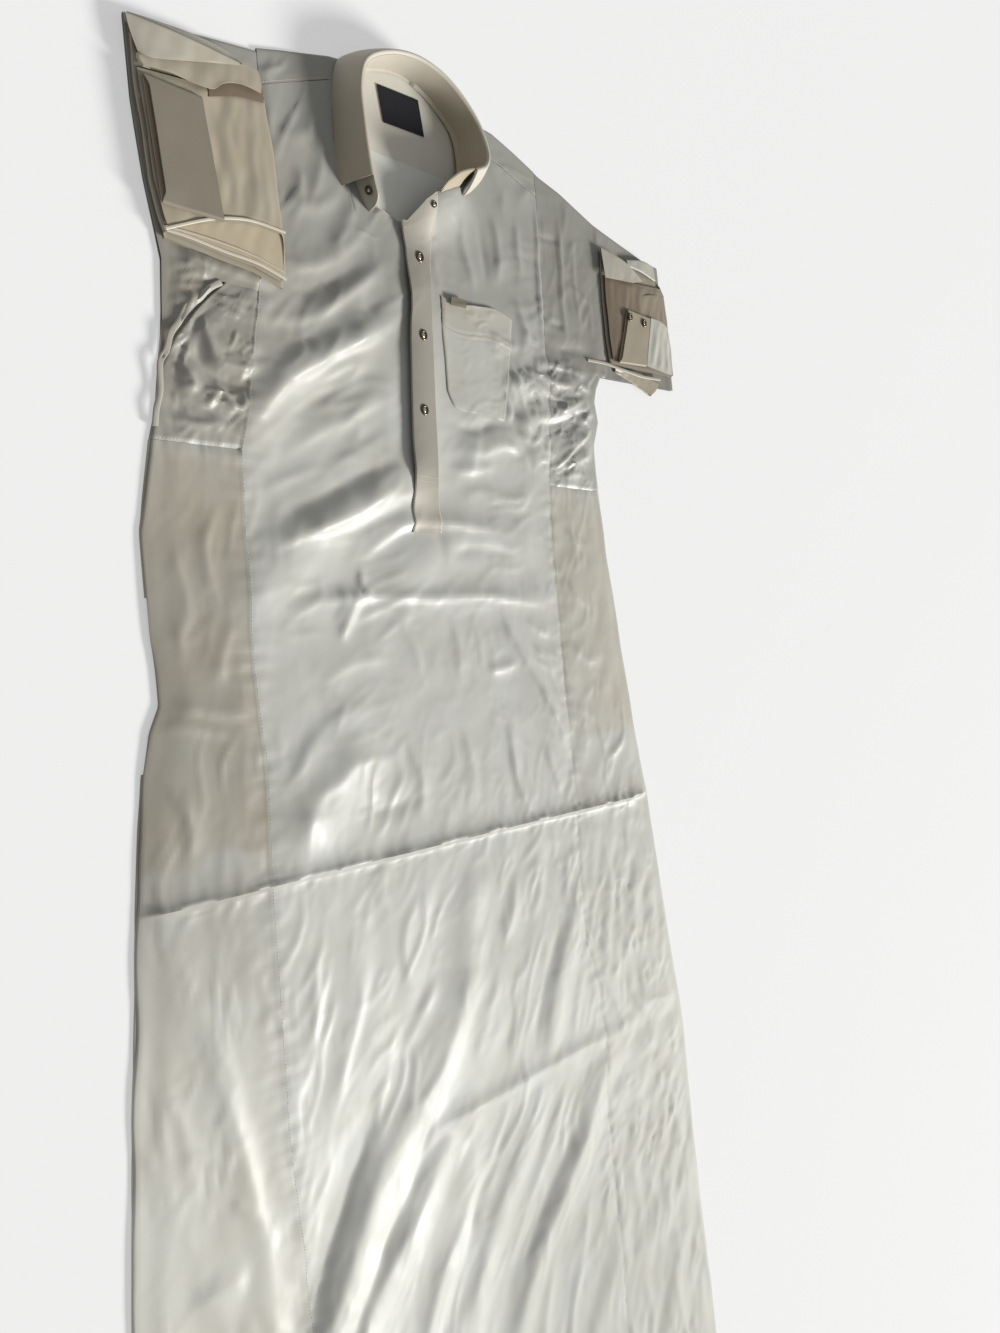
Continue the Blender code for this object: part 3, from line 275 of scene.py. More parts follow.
CREASES = creases(
    # chest, left of the opening: long folds that run up to the collar
    (9, 4.2, 0.4, -198, 1293, -169, 1289, -137, 1301, -96, 1332, -65, 1357, -48, 1379),
    (12, -4.2, 0, -205, 1232, -172, 1262, -136, 1285, -98, 1306, -62, 1328, -32, 1352),
    (6, 1.6, 0.2, -185, 1261, -148, 1282, -115, 1297, -73, 1318),
    (13, 7, 0.5, -222, 1180, -200, 1209, -174, 1235, -141, 1256, -101, 1279, -58, 1303, -33, 1322),
    (11, -2.4, 0, -190, 1188, -140, 1224, -90, 1248, -44, 1266),
    (9, 2.4, 0.4, -190, 1160, -150, 1186, -98, 1212, -48, 1240),
    (9, 3.4, 0.3, -192, 1350, -160, 1340, -120, 1356, -85, 1385, -62, 1410),
    (9, -2.4, 0, -190, 1322, -150, 1320, -110, 1340, -75, 1368),
    (8, 2.6, 0.3, -180, 1402, -145, 1398, -115, 1412, -94, 1440),
    (8, 2.4, 0.2, -85, 1425, -100, 1390, -122, 1362),
    (7, 2, 0.2, -150, 1440, -150, 1402, -165, 1372),
    (7, 1.9, 0.2, -120, 1480, -124, 1440, -140, 1404),
    (7, 1.8, 0.1, -176, 1455, -150, 1462, -120, 1483),
    (6, 1.5, -0.3, -140, 1160, -100, 1176, -52, 1204),
    (6, 1.4, 0.2, -215, 1128, -175, 1146, -140, 1158),
    # chest, right of the opening, and the sleeve: soft folds up and down
    (7, 2.6, 0.2, 52, 1448, 60, 1412, 72, 1380, 78, 1362),
    (7, 2.8, 0.3, 106, 1462, 116, 1425, 112, 1383),
    (6, -1.8, 0, 86, 1450, 94, 1410, 96, 1375),
    (5, 1.6, 0.2, 12, 1398, 18, 1372, 20, 1352),
    (7, 2.4, 0.2, 138, 1378, 154, 1336, 146, 1305),
    (6, 1.8, 0.2, 150, 1470, 148, 1430, 156, 1392),
    (4, 2.2, 0.3, 186, 1505, 184, 1438, 183, 1380, 188, 1315),
    (4, 2.4, 0.3, 226, 1495, 225, 1437, 224, 1377, 235, 1331),
    (5, 1.6, -0.3, 252, 1480, 250, 1420, 258, 1350),
    (3, -2, 0, 178, 1452, 204, 1457, 228, 1459),
    (4, -2.4, 0, 196, 1356, 212, 1358, 228, 1356),
    (4, 1.8, 0.2, 228, 1410, 256, 1404, 282, 1392),
    # below the opening
    (13, 6.6, 0.5, -212, 1064, -202, 1079, -169, 1093, -130, 1107, -95, 1123, -58, 1144, -42, 1157),
    (9, -3.4, 0, -206, 1100, -180, 1112, -148, 1127, -108, 1146, -66, 1167, -37, 1182),
    (9, 4.4, 0.4, -118, 1064, -72, 1093, -41, 1108, 5, 1112, 60, 1110, 120, 1104),
    (8, -2.2, 0, -130, 1086, -84, 1108, -40, 1126, 10, 1130),
    (8, 2.2, -0.2, 30, 1140, 70, 1150, 118, 1144, 160, 1152),
    (9, -2.6, 0, 10, 1080, 60, 1086, 120, 1080),
    (8, -3.4, 0.2, 16, 1222, 64, 1216, 100, 1228, 140, 1224),
    (8, 2.8, 0.2, 30, 1196, 70, 1192, 112, 1205, 152, 1200),
    (9, 1.1, 0.3, 84, 1236, 64, 1200, 50, 1150),
    (7, 1.9, 0.3, 20, 1168, 60, 1172, 100, 1180),
    # hard pressed line under the chest, and what leaves it
    (6, 2.6, 0.2, -206, 1024, -150, 1032, -80, 1036, -10, 1034, 60, 1036, 131, 1030, 182, 1023),
    (6, 3.4, 0, -104, 1047, -111, 1037, -128, 1003, -134, 990),
    (5, 2.6, 0.2, -101, 1066, -104, 1047, -90, 1030),
    (6, 2.1, -0.3, -134, 1047, -125, 1030, -140, 1008),
    (8, 3.4, 0.4, 90, 1032, 100, 997, 126, 963, 160, 916, 194, 858),
    (6, 2.3, 0, 62, 958, 85, 956, 114, 961),
    (6, 2, 0.3, 130, 1010, 152, 996, 176, 990),
    (6, 1.7, 0.1, 140, 980, 160, 962, 180, 940),
    (7, 1.4, -0.2, -60, 1010, -40, 985, -30, 950),
    (8, 1.6, 0.2, 10, 1020, 22, 985, 20, 940),
    # belly
    (18, 3.9, 0.4, -193, 797, -173, 849, -147, 863, -121, 879, -106, 848),
    (13, 3.1, -0.3, -205, 852, -180, 892, -140, 922, -90, 934),
    (9, 1.7, 0.2, -160, 952, -120, 972, -70, 975),
    (7, 2.1, 0.3, 92, 901, 103, 828, 130, 783),
    (8, 1.6, -0.3, 20, 900, 36, 850, 30, 800),
    (8, 1.8, 0.2, -60, 895, -40, 850, -48, 805),
    (7, 1.7, 0.2, 150, 870, 166, 830, 180, 795),
    (9, -1.8, 0, -120, 835, -80, 826, -30, 836),
    # under the fold across the robe
    (11, 3.2, 0.3, 23, 687, 8, 634, -15, 584, -34, 555, -62, 529, -79, 504, -83, 487),
    (15, 5.5, 0.5, -81, 515, -109, 496, -130, 472, -172, 397, -192, 364, -216, 290, -240, 200),
    (18, -4.8, 0.5, -98, 545, -135, 520, -168, 465, -200, 400, -218, 345),
    (7, 3.8, 0.25, -83, 487, -32, 492, 6, 492, 66, 494, 124, 496, 201, 497, 285, 493),
    (9, 3.2, 0.3, 194, 673, 161, 614, 136, 554, 125, 500),
    (8, -1.9, 0, 172, 668, 140, 610, 116, 555, 106, 512),
    (10, 3.8, 0.4, -33, 486, -58, 441, -86, 411, -128, 374, -154, 340, -178, 276, -196, 190),
    (10, -2.5, 0, -56, 480, -84, 446, -118, 412, -148, 374),
    (9, 3.2, 0.4, 1, 432, -19, 380, -49, 350, -74, 296, -100, 220, -122, 130),
    (9, 2.9, 0.3, 109, 475, 86, 422, 46, 388, 25, 360, -6, 300, -36, 230),
    (9, -1.9, 0, 60, 470, 38, 428, 4, 390, -20, 340),
    (12, 4.8, 0.5, 237, 475, 194, 406, 154, 358, 117, 317, 80, 277, 51, 228, 20, 150),
    (11, -2.7, 0, 196, 450, 158, 396, 118, 354, 82, 316, 48, 270),
    (8, 2.1, 0.2, 158, 470, 134, 420, 100, 378, 70, 348),
    (8, 2.3, 0.3, 60, 640, 44, 600, 22, 560, 10, 530),
    (8, 1.8, -0.2, -30, 650, -62, 610, -90, 580),
    (9, 2.1, 0.2, -120, 690, -136, 640, -160, 585, -176, 540),
    (8, 1.7, 0.2, -180, 700, -186, 650, -204, 610),
    (7, 1.4, -0.3, -60, 730, -76, 690, -70, 640),
    (8, 1.6, 0.2, 92, 730, 84, 690, 66, 650),
    (7, 1.6, 0.2, 140, 740, 130, 700, 112, 664),
    (6, 1.3, -0.2, 180, 738, 178, 704, 166, 674),
    (7, 1.6, 0.3, 90, 600, 80, 560, 62, 524),
    (7, 1.5, 0.2, 200, 590, 186, 552, 176, 512),
    (12, 2.7, 0.3, -140, 330, -160, 270, -166, 200, -160, 120),
    (10, 2.3, 0.3, 10, 310, -12, 250, -46, 180, -70, 90),
    (10, 2.5, 0.2, 130, 290, 104, 230, 90, 160, 60, 80),
    (9, 2.1, 0.2, 190, 330, 176, 270, 150, 200, 140, 120),
    (11, 2.1, 0.2, -80, 180, -92, 110, -110, 40, -112, 6),
    (11, 1.9, 0.2, 180, 110, 172, 60, 178, 8),
    # right gore
    (8, 2.2, 0.3, 368, 267, 320, 212, 260, 206, 199, 208),
    (7, 1.9, 0.3, 417, 188, 370, 186, 309, 193),
    (6, 1.4, 0.2, 197, 275, 240, 256, 281, 250),
    (7, 1.9, 0.3, 400, 509, 350, 511, 305, 517),
    (6, 1.5, 0.2, 289, 535, 309, 512, 326, 490),
    (6, 1.5, 0.2, 293, 481, 318, 460, 345, 447),
    (6, 1.3, 0.2, 374, 440, 350, 434, 330, 434),
    (7, 1.5, -0.3, 250, 740, 262, 680, 250, 620, 262, 560),
    (7, 1.4, 0.3, 300, 735, 312, 690, 300, 640),
    (6, 1.2, 0.2, 235, 560, 262, 530, 270, 490),
    (6, 1.5, 0.2, 240, 430, 270, 410, 310, 404),
    (7, 1.4, 0.2, 262, 380, 300, 352, 345, 346),
    (6, 1.2, -0.2, 350, 400, 372, 360, 378, 310),
    (8, 1.7, 0.2, 282, 180, 300, 120, 290, 50),
    (8, 1.5, 0.2, 350, 150, 362, 90, 372, 30),
    (7, 1.4, 0.2, 240, 160, 256, 110, 262, 60),
    (6, 1.7, 0.2, 222, 900, 250, 880, 262, 840),
    (7, 2, 0.2, 208, 980, 232, 960, 262, 955),
    (6, 1.8, 0.2, 204, 1060, 222, 1036, 250, 1020),
    (6, 1.9, -0.2, 208, 1120, 230, 1100, 262, 1098),
    (6, 1.8, 0.2, 310, 860, 282, 840, 262, 800),
    # left gore
    (7, 2.1, 0.2, -314, 947, -270, 938, -231, 933),
    (6, 1.7, 0.2, -328, 925, -300, 929, -250, 914),
    (8, 1.3, 0.2, -301, 692, -288, 632, -270, 566, -259, 508, -249, 453, -248, 391),
    (5, 1.5, 0.2, -326, 577, -300, 566, -275, 548),
    (5, 1.4, 0.2, -284, 523, -270, 508, -256, 496),
    (9, -1.9, 0, -246, 469, -230, 470, -214, 471),
    (9, 2.3, 0.2, -329, 448, -300, 452, -268, 445),
    (7, 1.5, 0.2, -340, 640, -322, 600, -318, 540),
    (7, 1.6, 0.2, -350, 430, -330, 380, -322, 320),
    (8, 1.9, 0.2, -296, 400, -290, 330, -300, 260, -296, 190),
    (8, 1.8, 0.2, -350, 260, -344, 190, -356, 110),
    (8, 1.8, 0.2, -262, 250, -254, 180, -262, 100),
    (9, 1.9, 0.2, -310, 130, -320, 70, -316, 10),
    (7, 2.2, 0.2, -250, 1120, -270, 1080, -262, 1030),
    (7, 1.7, 0.2, -300, 1080, -290, 1030, -302, 990),
    (8, 2, 0.2, -245, 1020, -262, 980, -256, 960),
    (7, 1.8, 0.2, -320, 880, -300, 850, -306, 810),
)

# Crumpled cloth under the arms: lines closer together and sharper
CRUMPLES = creases(
    # right: fans from the pocket's corner and the armhole
    (6, 4.4, 0.4, 160, 1314, 179, 1306, 217, 1307, 270, 1303),
    (7, -3.4, 0, 196, 1326, 225, 1330, 256, 1334, 291, 1331),
    (4, 3.4, 0.3, 127, 1298, 132, 1277, 143, 1263, 150, 1248),
    (4, 3.6, 0.3, 134, 1302, 151, 1285, 171, 1267, 182, 1250),
    (5, 3.8, 0.3, 145, 1300, 173, 1289, 204, 1286, 240, 1288),
    (4, 2.8, 0.3, 160, 1290, 188, 1272, 214, 1268, 250, 1272),
    (6, -3.8, 0, 146, 1232, 183, 1236, 216, 1244, 249, 1257, 286, 1270),
    (5, 3.2, 0.3, 190, 1254, 226, 1262, 262, 1278),
    (5, 3.4, 0.3, 118, 1244, 144, 1231, 160, 1217, 178, 1200),
    (5, 4.6, 0.4, 275, 1244, 243, 1221, 211, 1197, 184, 1178),
    (5, 3, 0.3, 200, 1186, 242, 1200, 275, 1210),
    (4, 2.8, 0.2, 130, 1225, 154, 1212, 172, 1222, 190, 1214),
    (4, 2.6, -0.2, 112, 1266, 122, 1248, 120, 1228),
    (4, 2.4, 0.2, 110, 1206, 136, 1196, 152, 1180),
    (5, 2.2, -0.3, 205, 1176, 236, 1184, 264, 1178),
    (5, 2.8, 0.3, 232, 1302, 250, 1290, 278, 1288),
    (5, 2.2, -0.2, 92, 1328, 122, 1318, 150, 1322),
    (4, 2.4, 0.2, 148, 1345, 166, 1330, 184, 1332),
    # left: the rolled seam round the gusset, and folds in it
    (5, 3.4, 0.2, -222, 1306, -246, 1303, -271, 1281, -285, 1258, -296, 1239, -303, 1206, -312, 1171),
    (4, -2.2, 0, -240, 1292, -262, 1272, -276, 1250, -286, 1226, -293, 1196),
    (5, 3.2, 0.3, -292, 1331, -268, 1322, -235, 1320, -198, 1318, -173, 1314),
    (4, 3, 0.2, -291, 1312, -268, 1317, -255, 1314, -240, 1311),
    (4, 2.8, 0.2, -286, 1302, -260, 1311, -246, 1305),
    (4, 2.6, 0.2, -290, 1293, -265, 1300, -252, 1296),
    (4, 2.4, 0.2, -290, 1281, -272, 1288, -262, 1286),
    (4, 2.4, 0.2, -247, 1297, -225, 1292, -215, 1284),
    (4, 2, 0.2, -246, 1288, -219, 1280),
    (7, 4.6, 0.4, -262, 1280, -256, 1253, -245, 1237, -216, 1236, -198, 1241),
    (7, -3, 0, -268, 1262, -258, 1232, -232, 1222, -206, 1224),
    (5, 3.8, 0.3, -294, 1240, -280, 1227, -273, 1214, -288, 1212),
    (4, 3.8, 0.2, -276, 1200, -260, 1200, -247, 1213, -240, 1205, -231, 1201, -215, 1209),
    (5, 2.4, 0.3, -300, 1186, -270, 1182, -236, 1188),
    (5, -2, 0, -296, 1200, -278, 1190, -250, 1184),
)

# Wrinkles too small to place one by one: they run in one direction (degrees from +x) round
# each centre; x, y and reach in metres, the wrinkles' length, width and height in millimetres
Grain = namedtuple("Grain", "x y reach angle length width height")
GRAINS = [Grain(*row) for row in (
    (-0.13, 1.42, 0.12, 50, 70, 15, 1.9),
    (0.10, 1.43, 0.13, 20, 60, 14, 1.4),
    (-0.12, 1.22, 0.12, 36, 80, 16, 1.3),
    (0.10, 1.14, 0.11, 14, 60, 14, 1.3),
    (-0.08, 1.04, 0.13, 30, 70, 16, 1.2),
    (0.12, 0.95, 0.12, -40, 50, 14, 1.2),
    (-0.10, 0.86, 0.12, 40, 60, 18, 1.2),
    (0.05, 0.84, 0.12, 76, 60, 14, 1.0),
    (-0.10, 0.65, 0.14, 66, 70, 16, 1.3),
    (0.12, 0.65, 0.13, 62, 60, 13, 1.4),
    (0.05, 0.40, 0.16, 54, 80, 15, 1.5),
    (-0.15, 0.30, 0.16, 66, 90, 18, 1.5),
    (0.10, 0.12, 0.18, 60, 80, 17, 1.5),
    (-0.12, 0.06, 0.18, 78, 80, 18, 1.4),
    (-0.28, 1.08, 0.10, 64, 60, 15, 1.0),
    (-0.29, 0.86, 0.12, 80, 60, 15, 0.9),
    (-0.29, 0.62, 0.12, 84, 60, 13, 1.1),
    (-0.30, 0.36, 0.14, 86, 70, 14, 1.3),
    (-0.31, 0.10, 0.16, 84, 70, 15, 1.4),
    (0.25, 1.05, 0.09, 70, 40, 11, 1.0),
    (0.27, 0.84, 0.10, 66, 40, 11, 1.2),
    (0.28, 0.62, 0.11, 80, 36, 10, 2.2),
    (0.30, 0.46, 0.09, 20, 36, 11, 1.8),
    (0.31, 0.32, 0.10, 60, 36, 9, 2.3),
    (0.34, 0.12, 0.14, 68, 50, 12, 1.8),
    (0.20, 1.25, 0.08, 24, 22, 7, 2.4),
    (-0.26, 1.24, 0.07, 20, 24, 7, 2.2),
    (-0.25, 1.40, 0.09, 74, 60, 14, 1.5),
    (0.32, 1.40, 0.12, 80, 60, 13, 1.5),
    (0.00, 1.54, 0.10, 8, 60, 13, 0.6),
)]

# ---------------------------------------------------------------- shapes of cloth


def column(table, name):
    return np.array([getattr(row, name) for row in table])


def blend(table, key, name, value):
    """A column's value at places in a table, on straight lines between its rows."""
    return np.interp(value, column(table, key), column(table, name))


def body(name, y):
    return blend(BODY, "y", name, y)


def soft_step(value):
    value = np.clip(value, 0, 1)
    return value * value * (3 - 2 * value)


def bell(value):
    return np.exp(-value * value)


def lattice(seed):
    """Random directions for the corners of soft noise."""
    angles = np.random.default_rng(seed).uniform(0, 2 * math.pi, (64, 64))
    return np.cos(angles), np.sin(angles)


def noise(x, y, seed=0):
    """Soft noise from about -1 to 1 with waves 1 long, in the plane."""
    east, north = lattice(seed)
    i, j = np.floor(x).astype(int), np.floor(y).astype(int)
    u, v = x - i, y - j

    def corner(a, b):
        at = (i + a) % 64, (j + b) % 64
        return east[at] * (u - a) + north[at] * (v - b)

    across = u * u * u * (u * (u * 6 - 15) + 10)
    up = v * v * v * (v * (v * 6 - 15) + 10)
    low = corner(0, 0) + (corner(1, 0) - corner(0, 0)) * across
    high = corner(0, 1) + (corner(1, 1) - corner(0, 1)) * across
    return 1.5 * (low + (high - low) * up)


def turned_noise(x, y, angle, length, width, seed):
    """Noise drawn out along one direction, with sharp crests and wide valleys."""
    cos, sin = math.cos(math.radians(angle)), math.sin(math.radians(angle))
    along, across = (x * cos + y * sin) / length, (y * cos - x * sin) / width
    across = across + 0.35 * noise(along * 1.7, across * 0.5, seed + 1)
    soft = noise(along, across, seed)
    crest = 1 - np.abs(noise(along * 1.3 + 7, across * 0.8 + 3, seed + 2)) * 2.2
    return 0.88 * soft + 0.12 * crest


def crease_lines(x, y, angle, length, width, seed):
    """Thin ridges that run in one direction, break off and start again beside it."""
    cos, sin = math.cos(math.radians(angle)), math.sin(math.radians(angle))
    along, across = (x * cos + y * sin) / length, (y * cos - x * sin) / width
    across = across + 0.6 * noise(along * 1.1, across * 0.35, seed + 1)
    ridge = np.clip(1 - 3.2 * np.abs(noise(along, across, seed)), 0, 1) ** 1.5
    kept = soft_step((noise(along * 0.9 + 5, across * 0.5 + 2, seed + 2) + 0.1) / 0.5)
    return ridge * kept


def smooth_line(points, count=8):
    """More points on a smooth curve through a crease's points."""
    points = [points[0], *points, points[-1]]
    line = []
    for k in range(1, len(points) - 2):
        a, b, c, d = [np.array(points[m]) for m in (k - 1, k, k + 1, k + 2)]
        for t in np.linspace(0, 1, count, endpoint=False):
            line.append(
                b + 0.5 * t * (c - a + t * (2 * a - 5 * b + 4 * c - d + t * (3 * b - a - 3 * c + d)))
            )
    return np.array([*line, points[-2]])


def run_along(line):
    """Length of each step of a line, and the way run at each of its points."""
    steps = np.linalg.norm(np.diff(line, axis=0), axis=1)
    return steps, np.concatenate([[0], np.cumsum(steps)])


def crease_height(crease, x, y, seed):
    """Height that a crease adds at each place: tapered at its ends, uneven along its length."""
    line = smooth_line(crease.points)
    width = crease.width / 1000
    reach = 4 * width
    inside = (x > line[:, 0].min() - reach) & (x < line[:, 0].max() + reach)
    inside &= (y > line[:, 1].min() - reach) & (y < line[:, 1].max() + reach)
    height = np.zeros_like(x)
    if not inside.any():
        return height
    px, py = x[inside], y[inside]
    steps, run = run_along(line)
    best = np.full(px.shape, 1e9)
    side = np.zeros_like(px)
    along = np.zeros_like(px)
    for k, (start, end) in enumerate(zip(line[:-1], line[1:])):
        if steps[k] == 0:
            continue
        dx, dy = (end - start) / steps[k]
        t = np.clip((px - start[0]) * dx + (py - start[1]) * dy, 0, steps[k])
        away = np.hypot(px - start[0] - t * dx, py - start[1] - t * dy)
        near = away < best
        best = np.where(near, away, best)
        side = np.where(near, (px - start[0]) * dy - (py - start[1]) * dx, side)
        along = np.where(near, run[k] + t, along)
    share = along / run[-1]
    if line[-1, 0] > line[0, 0]:
        side = -side
    waver = noise(along / 0.028 + seed * 3.7, np.full_like(along, seed * 1.3 + 0.5), 5)
    flank = 1 + np.where(side > 0, crease.lean, -crease.lean)
    tall = crease.height / 1000
    if tall > 0 and crease.lean > 0.25 and line[:, 1].mean() < 0.74:
        # the skirt's ridges lean over: a long slope towards the light, a short steep one behind
        flank, tall = np.where(side > 0, 0.8, 3.0), tall * 0.74
    distance = best / (width * flank * (0.75 + 0.35 * np.sqrt(share * (1 - share)) * 2))
    profile = np.exp(-1.25 * np.sqrt(distance * distance + 0.03) ** 1.55)
    ends = soft_step(share / 0.3) * soft_step((1 - share) / 0.3)
    height[inside] = tall * profile * ends * (1 + 0.3 * waver)
    return height


def fold_height(fold, x, y):
    along_x, along_y = fold.x2 - fold.x1, fold.y2 - fold.y1
    length = along_x * along_x + along_y * along_y
    t = np.clip(((x - fold.x1) * along_x + (y - fold.y1) * along_y) / length, 0, 1)
    away = np.hypot(x - fold.x1 - t * along_x, y - fold.y1 - t * along_y)
    return fold.height * bell(away / fold.width)


def edge_distance(x, y):
    """How far each place is inside the robe's outline."""
    left = np.where(y > GORE_TOP, blend(GUSSETS, "y", "left_outer", y), body("left_fold", y))
    left = np.where(y > 1.225, np.minimum(blend(SLEEVE_ENDS, "y", "left", y), left), left)
    right = np.where(y > GORE_TOP, blend(GUSSETS, "y", "right_outer", y), body("right_fold", y))
    right = np.where(y > GUSSET_TOP, blend(SLEEVE_ENDS, "y", "right", y), right)
    top = blend(SHOULDER, "x", "y", x) - y
    return np.minimum(np.minimum(x - left, right - x), top)


def big_fade(x, y):
    """Big folds die out towards the outline and beside the stacks of folded sleeve."""
    side = np.minimum(x - body("left_fold", y), body("right_fold", y) - x)
    top = blend(SHOULDER, "x", "y", x) - y
    beside = np.minimum(soft_step((x + 0.172) / 0.03), soft_step((0.286 - x) / 0.03))
    below = 1 - soft_step((y - 1.262) / 0.026)
    clear = np.maximum(beside, below)
    return soft_step(side / 0.03) * soft_step(top / 0.03) * clear


def bag_lift(x, y):
    """The pocket bags between the gores' layers lift the front one."""
    left = x < 0
    fold = np.where(left, body("left_fold", y), body("right_fold", y))
    seam = np.where(left, body("left_seam", y), body("right_seam", y))
    share = (x - fold) / (seam - fold)
    across = soft_step(share / 0.18) * soft_step((1 - share) / 0.18)
    up = soft_step((y - BAG[0]) / 0.035 + 1.5) * soft_step((BAG[1] - y) / 0.035 + 1.5)
    return BAG_RISE * across * up


def seam_pucker(away, along, seed, groove=0.0003, height=0.0022):
    """Small gathers that run off a seam, and the groove of the seam itself."""
    waves = noise(along / 0.0105, away / 0.035 + 9, seed) + 0.5 * noise(along / 0.005, away / 0.02, seed + 1)
    strength = 0.55 + 0.45 * noise(along / 0.06, np.zeros_like(along) + 0.3, seed + 2)
    return height * waves * strength * np.exp(-away / 0.013) - groove * bell(away / 0.0020)


def puckers(x, y):
    """Every seam of the front: the long ones and the gussets' lower ones."""
    total = np.zeros_like(x)
    low = y < GUSSET_TOP + 0.06
    for name, seed in (("left_seam", 11), ("right_seam", 21)):
        away = np.abs(x - body(name, y))
        near = (away < 0.06) & low
        total[near] += seam_pucker(away[near], y[near], seed)
        near = (away < 0.03) & ~low
        total[near] += 0.5 * seam_pucker(away[near], y[near], seed + 50)
    for near, seed in ((x < body("left_seam", y), 31), (x > body("right_seam", y), 41)):
        away = np.abs(y - GORE_TOP)
        near = near & (away < 0.05)
        total[near] += seam_pucker(away[near], x[near], seed, 0.0012, 0.0016)
    return total


def pressed_line(x, y):
    """The hard fold straight across, from the robe having been folded in two."""
    line = CREASE_Y + 0.0016 * noise(x / 0.05, x * 0 + 0.7, 61) + 0.0006 * noise(x / 0.012, x * 0, 62)
    away = y - line
    flank = np.where(away > 0, 0.0078, 0.0028)
    crest = 0.0072 * np.exp(-1.3 * np.sqrt((away / flank) ** 2 + 0.012))
    nicks = 0.0014 * np.clip(noise(x / 0.016 + y / 0.03, away / 0.05, 63) - 0.15, 0, 1)
    nicks += 0.0006 * noise(x / 0.011 - y / 0.05, away / 0.03, 64)
    return crest * (0.85 + 0.2 * noise(x / 0.04, x * 0 + 4, 65)) + nicks * np.exp(-np.abs(away) / 0.016)


def grain_height(x, y):
    total, weights = np.zeros_like(x), np.full_like(x, 1e-6)
    for seed, grain in enumerate(GRAINS):
        weight = bell(np.hypot(x - grain.x, y - grain.y) / grain.reach) ** 1.5
        near = weight > 0.01
        if not near.any():
            continue
        place = x[near], y[near], grain.angle
        length, width = grain.length / 1000, grain.width / 1000
        wave = 0.9 * turned_noise(*place, length * 1.6, width * 2.2, 100 + seed * 5)
        wave += 1.2 * crease_lines(*place, length * 1.3, width * 1.6, 300 + seed * 5)
        across = x[near], y[near], grain.angle - 24
        wave += 0.5 * crease_lines(*across, length * 0.6, width * 0.9, 500 + seed * 5)
        total[near] += weight[near] * grain.height / 1000 * wave
        weights[near] += weight[near]
    return total / np.maximum(weights, 0.35)


def lift_height(x, y):
    """Only on the right of the opening: the stiff placket and band hold this side up."""
    rise = sum(fold_height(fold, x, y) for fold in LIFTS)
    return rise * soft_step((y - SLIT_BOTTOM) / 0.05) * big_fade(x, y)


def under_stacks(x, y):
    """Pressed nearly flat where the folded sleeves lie on it, and free elsewhere."""
    above = soft_step((y - np.where(x < 0, 1.324, 1.306)) / 0.014) * soft_step((1.512 - y) / 0.01)
    left = soft_step((-0.176 - x) / 0.012) * above
    right = soft_step((x - 0.300) / 0.012) * above * soft_step((1.474 - y) / 0.012)
    return 1 - 0.9 * np.maximum(left, right)


def relief(x, y, lifted=False, detail=1.0):
    """How far the front layer rises above lying flat; the big folds alone with detail 0."""
    height = np.maximum.reduce([fold_height(fold, x, y) for fold in FOLDS]) * big_fade(x, y)
    height = height * (0.45 + 0.2 * soft_step((y - 0.7) / 0.1)) + bag_lift(x, y)
    if lifted:
        height = height + lift_height(x, y)
    inside = edge_distance(x, y)
    fade = soft_step(inside / 0.022) * under_stacks(x, y)
    height = height + 0.0022 * soft_step(inside / 0.03) * under_stacks(x, y)
    fine = grain_height(x, y) + puckers(x, y) + pressed_line(x, y)
    for seed, crease in enumerate(CREASES):
        fine = fine + crease_height(crease, x, y, seed)
    for seed, crease in enumerate(CRUMPLES):
        fine = fine + crease_height(crease, x, y, seed + 200)
    height = height + fine * fade * detail
    height = height * (1 - (0.08 + 0.10 * soft_step((x + 0.02) / 0.08)) * soft_step((0.62 - y) / 0.15))
    return np.where(height < 0.0006, 0.0006 * np.tanh(height / 0.0006), height)


def edge_puff(x, y):
    """The fold at the robe's side stays a little open, more in some places than in others."""
    inside = edge_distance(x, y)
    size = 0.0012 + 0.0010 * noise(y / 0.09, x * 0 + np.sign(x) * 3, 81)
    return size * bell((inside - 0.004) / 0.009)


def on_front(x, y, lifted=False, out=0.0, detail=1.0):
    """Places on the front layer, or that far out from it, as rows of x, y, z."""
    x, y = np.asarray(x, float), np.asarray(y, float)
    height = relief(x, y, lifted, detail) + edge_puff(x, y)
    spots = stack(x, y - ORIGIN_Y, FRONT_Z + height)
    out = np.broadcast_to(np.asarray(out, float), x.shape)
    if out.any():
        step = 0.003
        slope_x = relief(x + step, y, lifted, detail) - relief(x - step, y, lifted, detail)
        slope_y = relief(x, y + step, lifted, detail) - relief(x, y - step, lifted, detail)
        normal = stack(-slope_x, -slope_y, np.full_like(x, 2 * step))
        normal /= np.linalg.norm(normal, axis=-1, keepdims=True)
        spots += normal * out[..., None]
    return spots


# ---------------------------------------------------------------- meshes


def as_mesh(work, name):
    """A new mesh from a bmesh, which is freed."""
    mesh = bpy.data.meshes.new(name)
    work.to_mesh(mesh)
    work.free()
    return mesh


